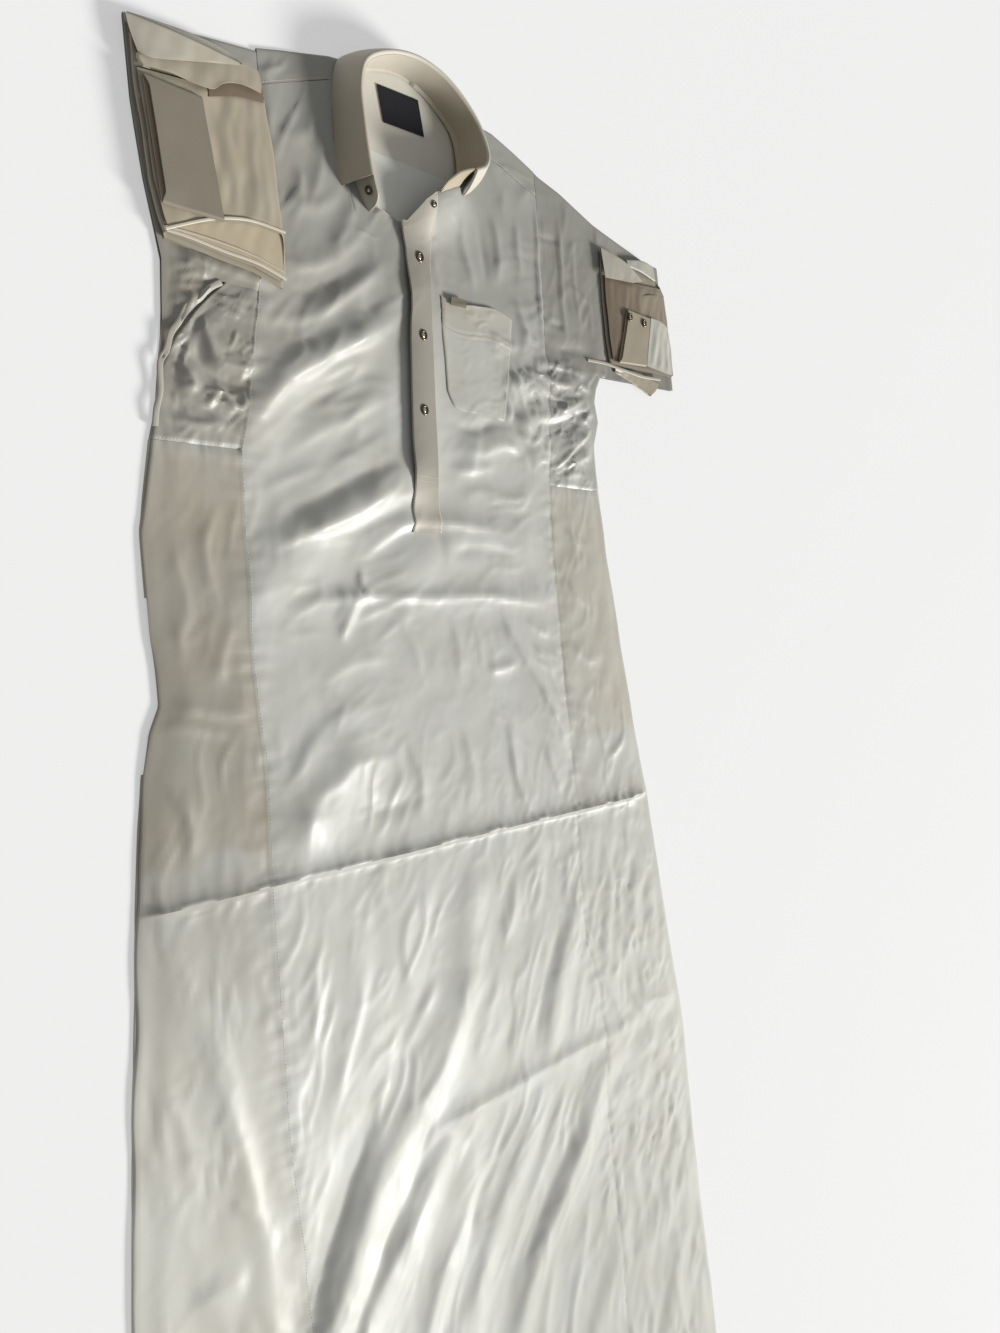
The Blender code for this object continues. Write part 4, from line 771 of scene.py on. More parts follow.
def sheet_mesh(columns, rows, left_out=None):
    """A grid with one cell between two columns and two rows: its mesh, and each corner's place
    in the two lists. left_out(column, row) says which cells to leave out."""
    columns, rows = np.asarray(columns, float), np.asarray(rows, float)
    across, up = len(columns) - 1, len(rows) - 1
    sheet = bmesh.new()
    bmesh.ops.create_grid(sheet, x_segments=across, y_segments=up, size=0.5)
    if left_out:
        holes = []
        for face in sheet.faces:
            middle = face.calc_center_median()
            i, j = int((middle.x + 0.5) * across), int((middle.y + 0.5) * up)
            if left_out((columns[i] + columns[i + 1]) / 2, (rows[j] + rows[j + 1]) / 2):
                holes.append(face)
        bmesh.ops.delete(sheet, geom=holes, context="FACES")
    mesh = as_mesh(sheet, "sheet")
    spots = np.empty(len(mesh.vertices) * 3)
    mesh.vertices.foreach_get("co", spots)
    spots = spots.reshape(-1, 3)
    i = np.rint((spots[:, 0] + 0.5) * across).astype(int)
    j = np.rint((spots[:, 1] + 0.5) * up).astype(int)
    return mesh, columns[i], rows[j]


def put(mesh, spots):
    mesh.vertices.foreach_set("co", np.ascontiguousarray(spots, dtype=np.float32).ravel())
    mesh.update()


def merged(mesh, distance=1e-5):
    """Joins corners that lie on each other and turns every face outwards."""
    work = bmesh.new()
    work.from_mesh(mesh)
    bmesh.ops.remove_doubles(work, verts=work.verts, dist=distance)
    bmesh.ops.recalc_face_normals(work, faces=work.faces)
    work.to_mesh(mesh)
    work.free()


def lay_out(mesh, flat):
    """The sheet's own UV map, in metres of flat cloth."""
    layer = mesh.uv_layers.new(name="Cloth")
    loops = np.empty(len(mesh.loops), np.int32)
    mesh.loops.foreach_get("vertex_index", loops)
    layer.data.foreach_set("uv", np.ascontiguousarray(flat[loops], dtype=np.float32).ravel())


def tint(mesh, name, values):
    """A number at each corner, which the cloth's material reads."""
    layer = mesh.attributes.new(name, "FLOAT", "POINT")
    values = np.broadcast_to(values, len(mesh.vertices))
    layer.data.foreach_set("value", np.ascontiguousarray(values, dtype=np.float32))


def tint_all(mesh, **looks):
    for name, values in looks.items():
        tint(mesh, name, values)


def finish_piece(name, mesh, material, replaced=(), slot=None, thickness=None):
    """Links a mesh as a finished piece, with a wall unless its thickness is 0."""
    if thickness is None:
        thickness = bpy.context.scene.thobe_sizes.wall
    mesh.name = name
    mesh.materials.append(bpy.data.materials[material])
    mesh.shade_smooth()
    piece = bpy.data.objects.new(name, mesh)
    bpy.context.scene.collection.objects.link(piece)
    if thickness:
        wall = piece.modifiers.new("Wall", "SOLIDIFY")
        wall.thickness = thickness
        wall.offset = 0
        wall.use_even_offset = False
        # the cut edge is crisp: its rim isn't shaded as one curve with the cloth's face
        graph = bpy.context.evaluated_depsgraph_get()
        walled = bpy.data.meshes.new_from_object(
            piece.evaluated_get(graph), preserve_all_data_layers=True, depsgraph=graph
        )
        piece.modifiers.clear()
        piece.data = walled
        bpy.data.meshes.remove(mesh)
        walled.name = name
        walled.set_sharp_from_angle(angle=RIM_ANGLE)
    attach(piece, BODY_NAME)
    if replaced:
        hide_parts(*replaced)
    return piece


def cloth_piece(name, mesh, spots, flat, warm, material=SHEER, dim=0.0, matt=0.0, **rest):
    """A sheet of cloth: its places and flat lay-out, how warm and matt it looks, and its painted shade."""
    spots[:, 2] = np.maximum(spots[:, 2], FLOOR_Z)
    put(mesh, spots)
    lay_out(mesh, flat)
    tint_all(mesh, warm=warm, dim=dim, matt=matt)
    work = bmesh.new()
    work.from_mesh(mesh)
    bmesh.ops.recalc_face_normals(work, faces=work.faces)
    up = sum(face.normal.z * face.calc_area() for face in work.faces)
    if up < 0:
        bmesh.ops.reverse_faces(work, faces=work.faces)
    work.to_mesh(mesh)
    work.free()
    return finish_piece(name, mesh, material, slot="satin", **rest)


def cells(start, end, size):
    """Even steps from start to end, about this size."""
    return np.linspace(start, end, max(2, round(abs(end - start) / size) + 1))


# ---------------------------------------------------------------- colours and materials


def srgb(colour):
    """A hex colour as the three numbers that a colour property in display colours holds."""
    return [int(colour[k : k + 2], 16) / 255 for k in (1, 3, 5)]


def linear(colour):
    """An sRGB colour, written as hex or three numbers, as Blender's linear one."""
    numbers = srgb(colour) if isinstance(colour, str) else colour
    return [c / 12.92 if c <= 0.04045 else ((c + 0.055) / 1.055) ** 2.4 for c in numbers] + [1]


def add(tree, kind, inputs=(), **settings):
    """Adds a node. Inputs holds what each of its inputs reads, or its value; settings are the
    node's own or, with an input's name, that input's value."""
    node = tree.nodes.new("ShaderNode" + kind)
    for name, value in settings.items():
        if hasattr(node, name):
            setattr(node, name, value)
        else:
            node.inputs[name.replace("_", " ")].default_value = value
    for name, source in dict(inputs).items():
        if isinstance(source, bpy.types.NodeSocket):
            tree.links.new(source, node.inputs[name])
        else:
            node.inputs[name].default_value = source
    return node


def new_material(name, colour, roughness, metallic=0.0):
    material = bpy.data.materials.new(name)
    material.use_nodes = True
    tree = material.node_tree
    shader = tree.nodes["Principled BSDF"]
    shader.inputs["Base Color"].default_value = colour
    shader.inputs["Roughness"].default_value = roughness
    shader.inputs["Metallic"].default_value = metallic
    return tree, shader


def make_cloth_material(name, looks, cool, warm, roughness, crinkle, sheen):
    """Woven polyester satin. Long floats of smooth yarn on one face: a soft, broad shine
    that turns milky at the edges, with fine crinkles from having been folded."""
    tree, shader = new_material(name, linear(cool), roughness)
    uv = add(tree, "UVMap", uv_map="Cloth").outputs["UV"]
    warmth, painted_shadow_amount, painted_shade_amount, worn = [
        add(tree, "Attribute", attribute_name=kind).outputs["Fac"] for kind in ("warm", "deep", "dim", "matt")
    ]
    # colour drifts a little over 60 mm, as layers below show through thin cloth
    drift = add(tree, "TexNoise", {"Vector": uv}, Scale=16.0, Detail=3.0)
    middle = {"From_Min": 0.3, "From_Max": 0.7}  # noise seldom leaves this range
    spread = add(tree, "MapRange", {"Value": drift.outputs["Fac"]}, **middle, To_Min=-0.12, To_Max=0.12)
    amount = add(tree, "Math", {0: warmth, 1: spread.outputs["Result"]}, operation="ADD", use_clamp=True)
    colour = add(tree, "Mix", {0: amount.outputs[0], 6: linear(cool), 7: linear(warm)}, data_type="RGBA")
    # painted shadow: brown and dark where the cloth lies in the shade of folds, gaps and upper layers
    inner = add(tree, "Mix", {0: painted_shadow_amount, 6: colour.outputs[2], 7: linear("#6f5a45")}, data_type="RGBA")
    # painted shade: greyer and darker over other layers of cloth and where less light falls
    shade = add(tree, "Mix", {0: painted_shade_amount, 6: inner.outputs[2], 7: linear("#4c4a44")}, data_type="RGBA")
    tree.links.new(shade.outputs[2], shader.inputs["Base Color"])
    # satin floats: yarns 0.1 mm apart, drawn 1.4 mm apart along the cloth so that they show
    weave = add(
        tree, "TexWave", {"Vector": uv}, wave_type="BANDS", bands_direction="X",
        Scale=1 / 0.0014 / 2, Distortion=2.0, Detail=2.0, Detail_Scale=0.4,
    )
    # crinkles: sharp little ridges 10 to 50 mm apart, drawn out along the cloth's length
    turned = (0, 0, math.radians(28))
    stretched = add(tree, "Mapping", {"Vector": uv, "Scale": (1.0, 0.45, 1.0), "Rotation": turned}).outputs[0]
    folds = add(
        tree, "TexNoise", {"Vector": stretched}, noise_type="RIDGED_MULTIFRACTAL",
        Scale=1 / 0.055, Detail=3.0, Roughness=0.5, Lacunarity=2.2, Distortion=0.8,
    )
    gloss = add(tree, "TexNoise", {"Vector": stretched}, Scale=1 / 0.03, Detail=4.0)
    shiny, dull = roughness - 0.05, roughness + 0.06
    shine = add(tree, "MapRange", {"Value": gloss.outputs["Fac"]}, **middle, To_Min=shiny, To_Max=dull)
    tree.links.new(shine.outputs["Result"], shader.inputs["Roughness"])
    rough = add(tree, "Bump", {"Height": folds.outputs["Fac"]}, Strength=crinkle, Distance=0.0011)
    layered = {"Height": weave.outputs["Fac"], "Normal": rough.outputs[0]}
    fine = add(tree, "Bump", layered, Strength=0.05, Distance=0.0002)
    tree.links.new(fine.outputs[0], shader.inputs["Normal"])
    # the skirt has been handled soft, and its floats reflect less
    left_over = add(tree, "Math", {0: 1.0, 1: worn}, operation="SUBTRACT", use_clamp=True)
    specular = add(tree, "Math", {0: left_over.outputs[0], 1: looks.shine}, operation="MULTIPLY")
    tree.links.new(specular.outputs[0], shader.inputs["Specular IOR Level"])
    for setting, value in (("Sheen Weight", sheen), ("Sheen Roughness", 0.4), ("IOR", 1.54)):
        shader.inputs[setting].default_value = value


def colour_setting(name, description, colour):
    return FloatVectorProperty(
        name=name, description=description, subtype="COLOR_GAMMA", size=3, min=0, max=1, default=srgb(colour)
    )


def share_setting(name, description, share):
    return FloatProperty(name=name, description=description, default=share, min=0, max=1, subtype="FACTOR")


class ThobeLooks(bpy.types.PropertyGroup):
    """Colours and finish of the robe."""

    satin: colour_setting("Satin", "Colour of a single layer of the satin", "#c5c6c0")
    layered: colour_setting("Layered satin", "Colour where cloth lies over cloth", "#b0a38b")
    facing: colour_setting("Stiffened satin", "Colour of collar, cuffs and placket", "#b0aca2")
    shine: share_setting("Shine", "How strongly the satin reflects", 0.28)
    crinkle: share_setting("Crinkle", "Strength of the finest crinkles", 0.7)


class ThobeSizes(bpy.types.PropertyGroup):
    """Sizes of the dressed pieces."""

    cell: FloatProperty(
        name="Cell", description="Size of the front's cells",
        default=0.0035, min=0.002, max=0.02, unit="LENGTH",
    )
    wall: FloatProperty(
        name="Cloth", description="Thickness of the satin",
        default=0.0005, min=0.0002, max=0.0012, unit="LENGTH",
    )


# ---------------------------------------------------------------- front


def front_knots(y):
    """The x of the front's main columns at heights below the neckline."""
    left, right = body("left_seam", y) + SEAM_GAP, body("right_seam", y) - SEAM_GAP
    strip = [blend(PLACKET, "y", name, y) for name in PLACKET[0]._fields[1:]]
    knots = [left + (strip[0] - left) * share for share in LEFT_COLUMNS]
    knots += strip[1:3]
    knots += [strip[3] + (right - strip[3]) * share for share in RIGHT_COLUMNS]
    return np.stack(knots, axis=-1)


def row_places(table_rows, at, *names):
    """Columns of a table at places counted in its rows."""
    return [np.interp(at, np.arange(len(table_rows)), column(table_rows, name)) for name in names]


def front_flat(knot, row):
    """Table x and y of the front at a column and row; rows past 2 run up to the top edge."""
    y = np.minimum(row, TOP_BLOCK)
    share = np.clip(row - 2, 0, 1)
    y = np.where(row > 1.99, TOP_BLOCK, y)
    knots = front_knots(y)
    low = np.clip(np.floor(knot).astype(int), 0, len(FRONT_TOP) - 2)
    part = knot - low
    pick = np.arange(len(y))
    x = knots[pick, low] * (1 - part) + knots[pick, low + 1] * part
    top_x, top_y = row_places(FRONT_TOP, knot, "x", "y")
    return x + (top_x - x) * share, y + (top_y - y) * share


def warm_at(x, y):
    """How warm the cloth looks: most of all over the pocket bags, and near the left sleeve a painted glow of
    light through the cloth.
    """
    left = x < body("left_seam", y)
    right = x > body("right_seam", y)
    edge_left = BAG[0] + 0.02 * noise(x / 0.05, y / 0.2, 91)
    bag_left = soft_step((y - edge_left) / 0.012) * soft_step((1.168 - y) / 0.02)
    bag_right = soft_step((y - 0.862) / 0.010) * soft_step((1.168 - y) / 0.02)
    warm = np.where(left, 0.34 * bag_left + 0.14, 0.0) + np.where(right, 0.26 * bag_right + 0.06, 0.0)
    warm = warm + np.where(left & (y > 1.168), 0.12, 0.0)
    glow = 0.35 * bell(np.hypot((x + 0.20) / 0.10, (y - 1.33) / 0.16))
    return np.clip(warm + np.where(left | right, 0, glow * 0.6) + 0.08, 0, 1)


def painted_shade_at(x, y):
    """Painted shade: the cloth darker at the chest, on the sleeves, under the arms and on the gores."""
    dim = 0.27 * soft_step((y - 0.50) / 0.35) + 0.29 * soft_step((y - 1.20) / 0.19)
    left = x < body("left_seam", y)
    right = x > body("right_seam", y)
    dim = dim + np.where((left | right) & (y > 1.168), 0.16, 0.0)
    dim = dim + np.where(left, 0.20 * bell((y - 0.93) / 0.20) + 0.05, 0.0)
    dim = dim + 0.12 * soft_step((x + 0.05) / 0.2) * soft_step((0.5 - y) / 0.25)
    return np.clip(dim, 0, 0.8)


def matt_at(x, y):
    """How much less the cloth reflects: the skirt, most of all on its right."""
    return soft_step((1.02 - y) / 0.40) * (0.55 + 0.43 * soft_step((x + 0.15) / 0.22))


def front_columns(cell_columns):
    """The front's columns: each main one and even cells between it and the next."""
    columns = []
    for knot, count in enumerate(cell_columns):
        columns += list(knot + np.arange(count) / count)
    return np.array([*columns, len(cell_columns)])


def front_rows():
    cell = bpy.context.scene.thobe_sizes.cell
    low, high = NEAR_CREASE
    rows = [cells(0, 0.30, cell * 2)[:-1], cells(0.30, low, cell * 1.12)[:-1], cells(low, high, 0.0017)[:-1]]
    rows += [cells(high, SLIT_BOTTOM, cell * 1.05)[:-1], cells(SLIT_BOTTOM, TOP_BLOCK, cell * 1.02)[:-1]]
    return np.concatenate([*rows, 2 + cells(0, 1, 0.034)])


class THOBE_OT_front(bpy.types.Operator):
    """Lay the front panel with its folds, creases and the slit of its opening"""

    bl_idname = "thobe.front"
    bl_label = "Front panel"

    def execute(self, context):
        def in_slit(knot, row):
            return SLIT_LEFT < knot < SLIT_RIGHT and row > SLIT_BOTTOM

        mesh, knot, row = sheet_mesh(front_columns(FRONT_CELLS), front_rows(), in_slit)
        x, y = front_flat(knot, row)
        spots = np.where((knot >= SLIT_RIGHT)[:, None], on_front(x, y, lifted=True), on_front(x, y))
        # its colour carries painted shade, darker towards the chest and under the arms
        piece = cloth_piece(
            "front_satin", mesh, spots, stack(x, y), warm_at(x, y),
            dim=painted_shade_at(x, y), matt=matt_at(x, y), replaced=("front_panel",),
        )
        return {"FINISHED"}


# ---------------------------------------------------------------- pieces folded at an edge

TURN_ROUND = ((0, 1), (0.62, 0.93), (1, 0.62), (0.94, 0.3), (0.5, 0.05), (0, 0))
TURN_LIPPED = ((0, 1), (0.3, 0.8), (0.22, 0.42), (0.72, 0.52), (1, 0.26), (0.4, 0))


def turn_profile(part, lipped):
    """Way round a folded edge, outwards and up as shares: a plain turn, or with two lips."""
    at = np.linspace(0, 1, len(TURN_ROUND))
    out, up = [
        np.interp(part, at, [p[k] for p in TURN_ROUND]) * (1 - lipped)
        + np.interp(part, at, [p[k] for p in TURN_LIPPED]) * lipped
        for k in (0, 1)
    ]
    return out, up


def back_ripple(x, y):
    """The back layer lies on the floor, all but flat."""
    return 0.00035 * (1 + noise(x / 0.05, y / 0.07, 95)) * soft_step(edge_distance(x, y) / 0.02)


def side_fold(way, y, seam, fold, seed):
    """Places on a piece folded at the robe's side: way runs 0 to 1 from the front seam to the
    fold, to 2 round it, and to 3 back to the back seam."""
    outwards = np.sign(fold - seam)
    width = 0.0035 + 0.0015 * noise(y / 0.06, y * 0 + seed, 96)
    inner = fold - outwards * width
    front_x = seam + (inner - seam) * np.clip(way, 0, 1)
    spots = on_front(front_x, y)
    # the seam is lapped, the edge that catches the light on top
    spots[:, 2] -= outwards * 0.0005 * (way < 0.01)
    lipped = soft_step(0.5 + 1.5 * noise(y / 0.11, y * 0 + seed, 97))
    out, up = turn_profile(np.clip(way - 1, 0, 1), lipped)
    turning = (way > 1) & (way < 2)
    top = spots[:, 2]
    turn_x = inner + outwards * width * out
    turn = stack(turn_x, y - ORIGIN_Y, BACK_Z + (top - BACK_Z) * up)
    back_x = inner + (seam - inner) * np.clip(way - 2, 0, 1)
    back = stack(back_x, y - ORIGIN_Y, BACK_Z + back_ripple(back_x, y))
    spots = np.where(turning[:, None], turn, spots)
    spots = np.where((way >= 2)[:, None], back, spots)
    flat_x = np.where(way < 2, spots[:, 0], 2 * fold - spots[:, 0])
    return spots, stack(flat_x, y)


def way_round(front, back):
    """Ways round a folded piece: this many on its front and on its back."""
    return np.concatenate([np.linspace(0, 1, front)[:-1], np.linspace(1, 2, 9)[:-1], np.linspace(2, 3, back)])


def gore_rows(cell):
    """Rows from the hem to the gore's top, closer together over the pressed line."""
    low, high = NEAR_CREASE
    rows = [cells(0, 0.3, cell * 1.6)[:-1], cells(0.3, low, cell)[:-1], cells(low, high, 0.0018)[:-1]]
    return np.concatenate([*rows, cells(high, GORE_TOP, cell)])


class THOBE_OT_gores(bpy.types.Operator):
    """Fold the two side gores round the robe's sides, open along the pocket mouths"""

    bl_idname = "thobe.gores"
    bl_label = "Side gores"

    def execute(self, context):
        def in_mouth(way, y):
            return 1.3 < way < 2 and POCKET_MOUTH[0] < y < POCKET_MOUTH[1]

        for seed, (side, away) in enumerate(SIDES.items()):
            mesh, way, y = sheet_mesh(way_round(36, 12), gore_rows(0.0043), in_mouth)
            seam = body(side + "_seam", y) - away * GORE_LAP
            spots, flat = side_fold(way, y, seam, body(side + "_fold", y), seed * 7 + 1)
            x = spots[:, 0]
            # its colour carries painted shade
            piece = cloth_piece(
                f"gore_{side}_satin", mesh, spots, flat, warm_at(x, y),
                dim=painted_shade_at(x, y), matt=matt_at(x, y), replaced=("side_gore_" + side,),
            )
        return {"FINISHED"}


class THOBE_OT_gussets(bpy.types.Operator):
    """Fold the underarm gussets, crumpled between gore and sleeve"""

    bl_idname = "thobe.gussets"
    bl_label = "Underarm gussets"

    def execute(self, context):
        for seed, (side, away) in enumerate(SIDES.items()):
            mesh, way, y = sheet_mesh(way_round(42, 10), cells(GORE_TOP + 0.0003, GUSSET_TOP, 0.0022))
            seam = body(side + "_seam", y) - away * GORE_LAP
            outer = blend(GUSSETS, "y", side + "_outer", y)
            spots, flat = side_fold(way, y, seam, outer, seed * 5 + 3)
            x = spots[:, 0]
            # its colour carries painted shade
            piece = cloth_piece(
                f"gusset_{side}_satin", mesh, spots, flat, warm_at(x, y),
                dim=painted_shade_at(x, y), replaced=("gusset_" + side,),
            )
        return {"FINISHED"}


class THOBE_OT_back(bpy.types.Operator):
    """Lay the back panel flat on the floor"""

    bl_idname = "thobe.back"
    bl_label = "Back panel"

    def execute(self, context):
        mesh, share, y = sheet_mesh(cells(0, 1, 0.02), cells(0, YOKE_BACK_SEAM - SEAM_GAP, 0.008))
        left, right = body("left_seam", y) + SEAM_GAP, body("right_seam", y) - SEAM_GAP
        x = left + (right - left) * share
        spots = stack(x, y - ORIGIN_Y, BACK_Z + back_ripple(x, y))
        piece = cloth_piece("back_satin", mesh, spots, stack(x, y), 0.1, replaced=("back_panel",))
        return {"FINISHED"}


def upper_fold(way, x_low, y_low, x_high, y_fold, x_back, y_back):
    """Places on a piece folded along the shoulder: way 0 to 1 up the front, to 2 round the
    fold, to 3 down the back."""
    width = 0.0035
    inner = y_fold - width
    share = np.clip(way, 0, 1)
    front_x, front_y = x_low + (x_high - x_low) * share, y_low + (inner - y_low) * share
    spots = on_front(front_x, front_y)
    out, up = turn_profile(np.clip(way - 1, 0, 1), np.zeros_like(way))
    top = spots[:, 2]
    turn = stack(x_high, inner + width * out - ORIGIN_Y, BACK_Z + (top - BACK_Z) * up)
    share = np.clip(way - 2, 0, 1)
    rear_x, rear_y = x_high + (x_back - x_high) * share, inner + (y_back - inner) * share
    rear = stack(rear_x, rear_y - ORIGIN_Y, np.full_like(way, BACK_Z))
    spots = np.where(((way > 1) & (way < 2))[:, None], turn, spots)
    spots = np.where((way >= 2)[:, None], rear, spots)
    flat_y = np.where(way < 2, spots[:, 1] + ORIGIN_Y, 2 * y_fold - spots[:, 1] - ORIGIN_Y)
    return spots, np.stack([spots[:, 0], flat_y], axis=-1)


class THOBE_OT_yoke(bpy.types.Operator):
    """Fold the yoke over the shoulders, with the neck cut out of its front"""

    bl_idname = "thobe.yoke"
    bl_label = "Yoke"

    def execute(self, context):
        first, last = YOKE_NECK

        def in_neck(knot, way):
            return first < knot < last and way < 2

        knots = np.linspace(0, len(YOKE) - 1, 8 * (len(YOKE) - 1) + 1)
        mesh, knot, way = sheet_mesh(knots, way_round(16, 22), in_neck)
        x, y, front_x, front_y = row_places(YOKE, knot, *YOKE[0]._fields)
        spots, flat = upper_fold(way, front_x, front_y, x, y, x, YOKE_BACK_SEAM + SEAM_GAP)
        # painted shade on the yoke's front
        warm, dim = np.where(way >= 2, 0.4, 0.15), np.where(way >= 2, 0.0, 0.58)
        piece = cloth_piece("yoke_satin", mesh, spots, flat, warm, dim=dim, replaced=("yoke",))
        return {"FINISHED"}


class THOBE_OT_sleeves(bpy.types.Operator):
    """Lay the first run of each sleeve, folded along the shoulder line"""

    bl_idname = "thobe.sleeves"
    bl_label = "Sleeves"

    def execute(self, context):
        for side, away, hems, cell, area in (
            ("left", -1, LEFT_HEM, 0.018, 0.050), ("right", 1, RIGHT_HEM, 0.013, 0.0995),
        ):
            mesh, share, way = sheet_mesh(cells(0, 1, cell), way_round(72, 14))
            low = blend(hems, "share", "y", share)
            armhole = body(side + "_seam", low)
            fold_x = armhole + (blend(SLEEVE_ENDS, "y", side, low) - armhole) * share
            fold = blend(SHOULDER, "x", "y", fold_x)
            height = np.where(way <= 1, low + (fold - low) * way, fold)
            height = np.where(way >= 2, fold + (low - fold) * (way - 2), height)
            armhole = body(side + "_seam", height) + away * SEAM_GAP
            x = armhole + (blend(SLEEVE_ENDS, "y", side, height) - armhole) * share
            spots, flat = upper_fold(way, x, low, x, fold, x, low)
            warm = 0.2 + 0.15 * noise(x / 0.05, height / 0.07, 98)
            warm = warm + np.where(x < -0.19, 0.35, 0) * soft_step((1.38 - height) / 0.04)
            # painted shade on both sleeves' first runs
            dim = {"left": 0.58, "right": 0.66}[side]
            nodes = ("sleeve_" + side,)
            piece = cloth_piece(f"sleeve_{side}_satin", mesh, spots, flat, warm, dim=dim, replaced=nodes)
        return {"FINISHED"}


# ---------------------------------------------------------------- folded sleeves


def along_line(points, share):
    """Places a share of the way along a smooth line through the points."""
    line = smooth_line(points) if len(points) > 2 else points
    run = run_along(line)[1]
    return stack(*[np.interp(share * run[-1], run, axis) for axis in line.T])


# A loose layer of cloth between four edges of x, y and height; which sides are rolled under;
# how warm it looks, its painted shadow and painted shade, and its ripples' height in millimetres
Layer = namedtuple("Layer", "south east north west rolled warm deep ripple dim")


def layer(south, north, east=(), west=(), rolled="", warm=0.0, deep=0.0, ripple=0.2, dim=0.3):
    """A layer from its lower and upper edge, and what points its sides have between these."""
    south, north = places(south, 3), places(north, 3)
    east = np.concatenate([south[-1:], places(east, 3), north[-1:]])
    west = np.concatenate([south[:1], places(west, 3), north[:1]])
    return Layer(south, east, north, west, rolled, warm, deep, ripple, dim)


def band(points, half, warm, deep=0.0, ripple=0.2, dim=0.3, rolled="sn"):
    """A narrow layer along a line, this far in millimetres to both sides of it."""
    line = places(points, 3)
    way = np.gradient(line[:, :2], axis=0)
    across = np.stack([-way[:, 1], way[:, 0], way[:, 0] * 0], axis=-1)
    across *= half / 1000 / np.linalg.norm(across, axis=1, keepdims=True)
    low, high = line - across, line + across
    east, west = np.stack([low[-1], high[-1]]), np.stack([low[0], high[0]])
    return Layer(low, east, high, west, rolled, warm, deep, ripple, dim)


def rim_distance(u, v):
    """How far inside a square from 0 to 1 each place is."""
    return np.minimum(np.minimum(u, 1 - u), np.minimum(v, 1 - v))


def layer_spots(layer, u, v):
    """Smooth sheet between the layer's edges; past 0 and 1 the rolled sides turn under."""
    inside_u, inside_v = np.clip(u, 0, 1), np.clip(v, 0, 1)
    radius = min(0.0011, 0.22 * np.linalg.norm(layer.west[-1] - layer.west[0]))

    def spot(a, b):
        a1, b1 = a[:, None], b[:, None]
        south, north = along_line(layer.south, a), along_line(layer.north, a)
        west, east = along_line(layer.west, b), along_line(layer.east, b)
        low = (1 - a1) * layer.south[0] + a1 * layer.south[-1]
        high = (1 - a1) * layer.north[0] + a1 * layer.north[-1]
        flat = (1 - b1) * low + b1 * high
        return (1 - b1) * south + b1 * north + (1 - a1) * west + a1 * east - flat

    spots = spot(inside_u, inside_v)
    x, y = spots[:, 0], spots[:, 1]
    waves = turned_noise(x, y, 70, 0.05, 0.012, 301) + 0.4 * noise(x / 0.012, y / 0.02, 305)
    rise = layer.ripple / 1000 * waves
    spots[:, 2] += rise * soft_step(rim_distance(inside_u, inside_v) / 0.12)
    for past, step_u, step_v in ((-u, -0.03, 0), (u - 1, 0.03, 0), (-v, 0, -0.03), (v - 1, 0, 0.03)):
        turn = np.clip(past, 0, 1)
        if not turn.any():
            continue
        near = spot(np.clip(inside_u - step_u, 0, 1), np.clip(inside_v - step_v, 0, 1))
        out = spots - near
        out[:, 2] = 0
        out /= np.maximum(np.linalg.norm(out, axis=1, keepdims=True), 1e-9)
        angle = np.minimum(turn / 0.6, 1) * math.pi
        back = np.clip((turn - 0.6) / 0.4, 0, 1) * radius * 5
        spots += out * (radius * np.sin(angle) - back)[:, None]
        spots[:, 2] -= radius * (1 - np.cos(angle))
    return spots


def layer_mesh(layer, size=0.0022):
    """A layer as a mesh with its flat lay-out and colours."""
    south, east, north, west = [np.linalg.norm(edge[-1] - edge[0]) for edge in layer[:4]]
    width, height = max(south, north), max(west, east)
    across, up = list(cells(0, 1, size / width)), list(cells(0, 1, size / height))
    turn = [0.15, 0.3, 0.45, 0.6, 1.0]
    before, after = [-k for k in reversed(turn)], [1 + k for k in turn]
    across = before * ("w" in layer.rolled) + across + after * ("e" in layer.rolled)
    up = before * ("s" in layer.rolled) + up + after * ("n" in layer.rolled)
    mesh, u, v = sheet_mesh(across, up)
    spots = layer_spots(layer, u, v)
    spots[:, 1] -= ORIGIN_Y
    put(mesh, spots)
    lay_out(mesh, spots[:, :2] + [3 * width, 0])
    tint_all(mesh, warm=layer.warm, deep=layer.deep, dim=layer.dim)
    return mesh


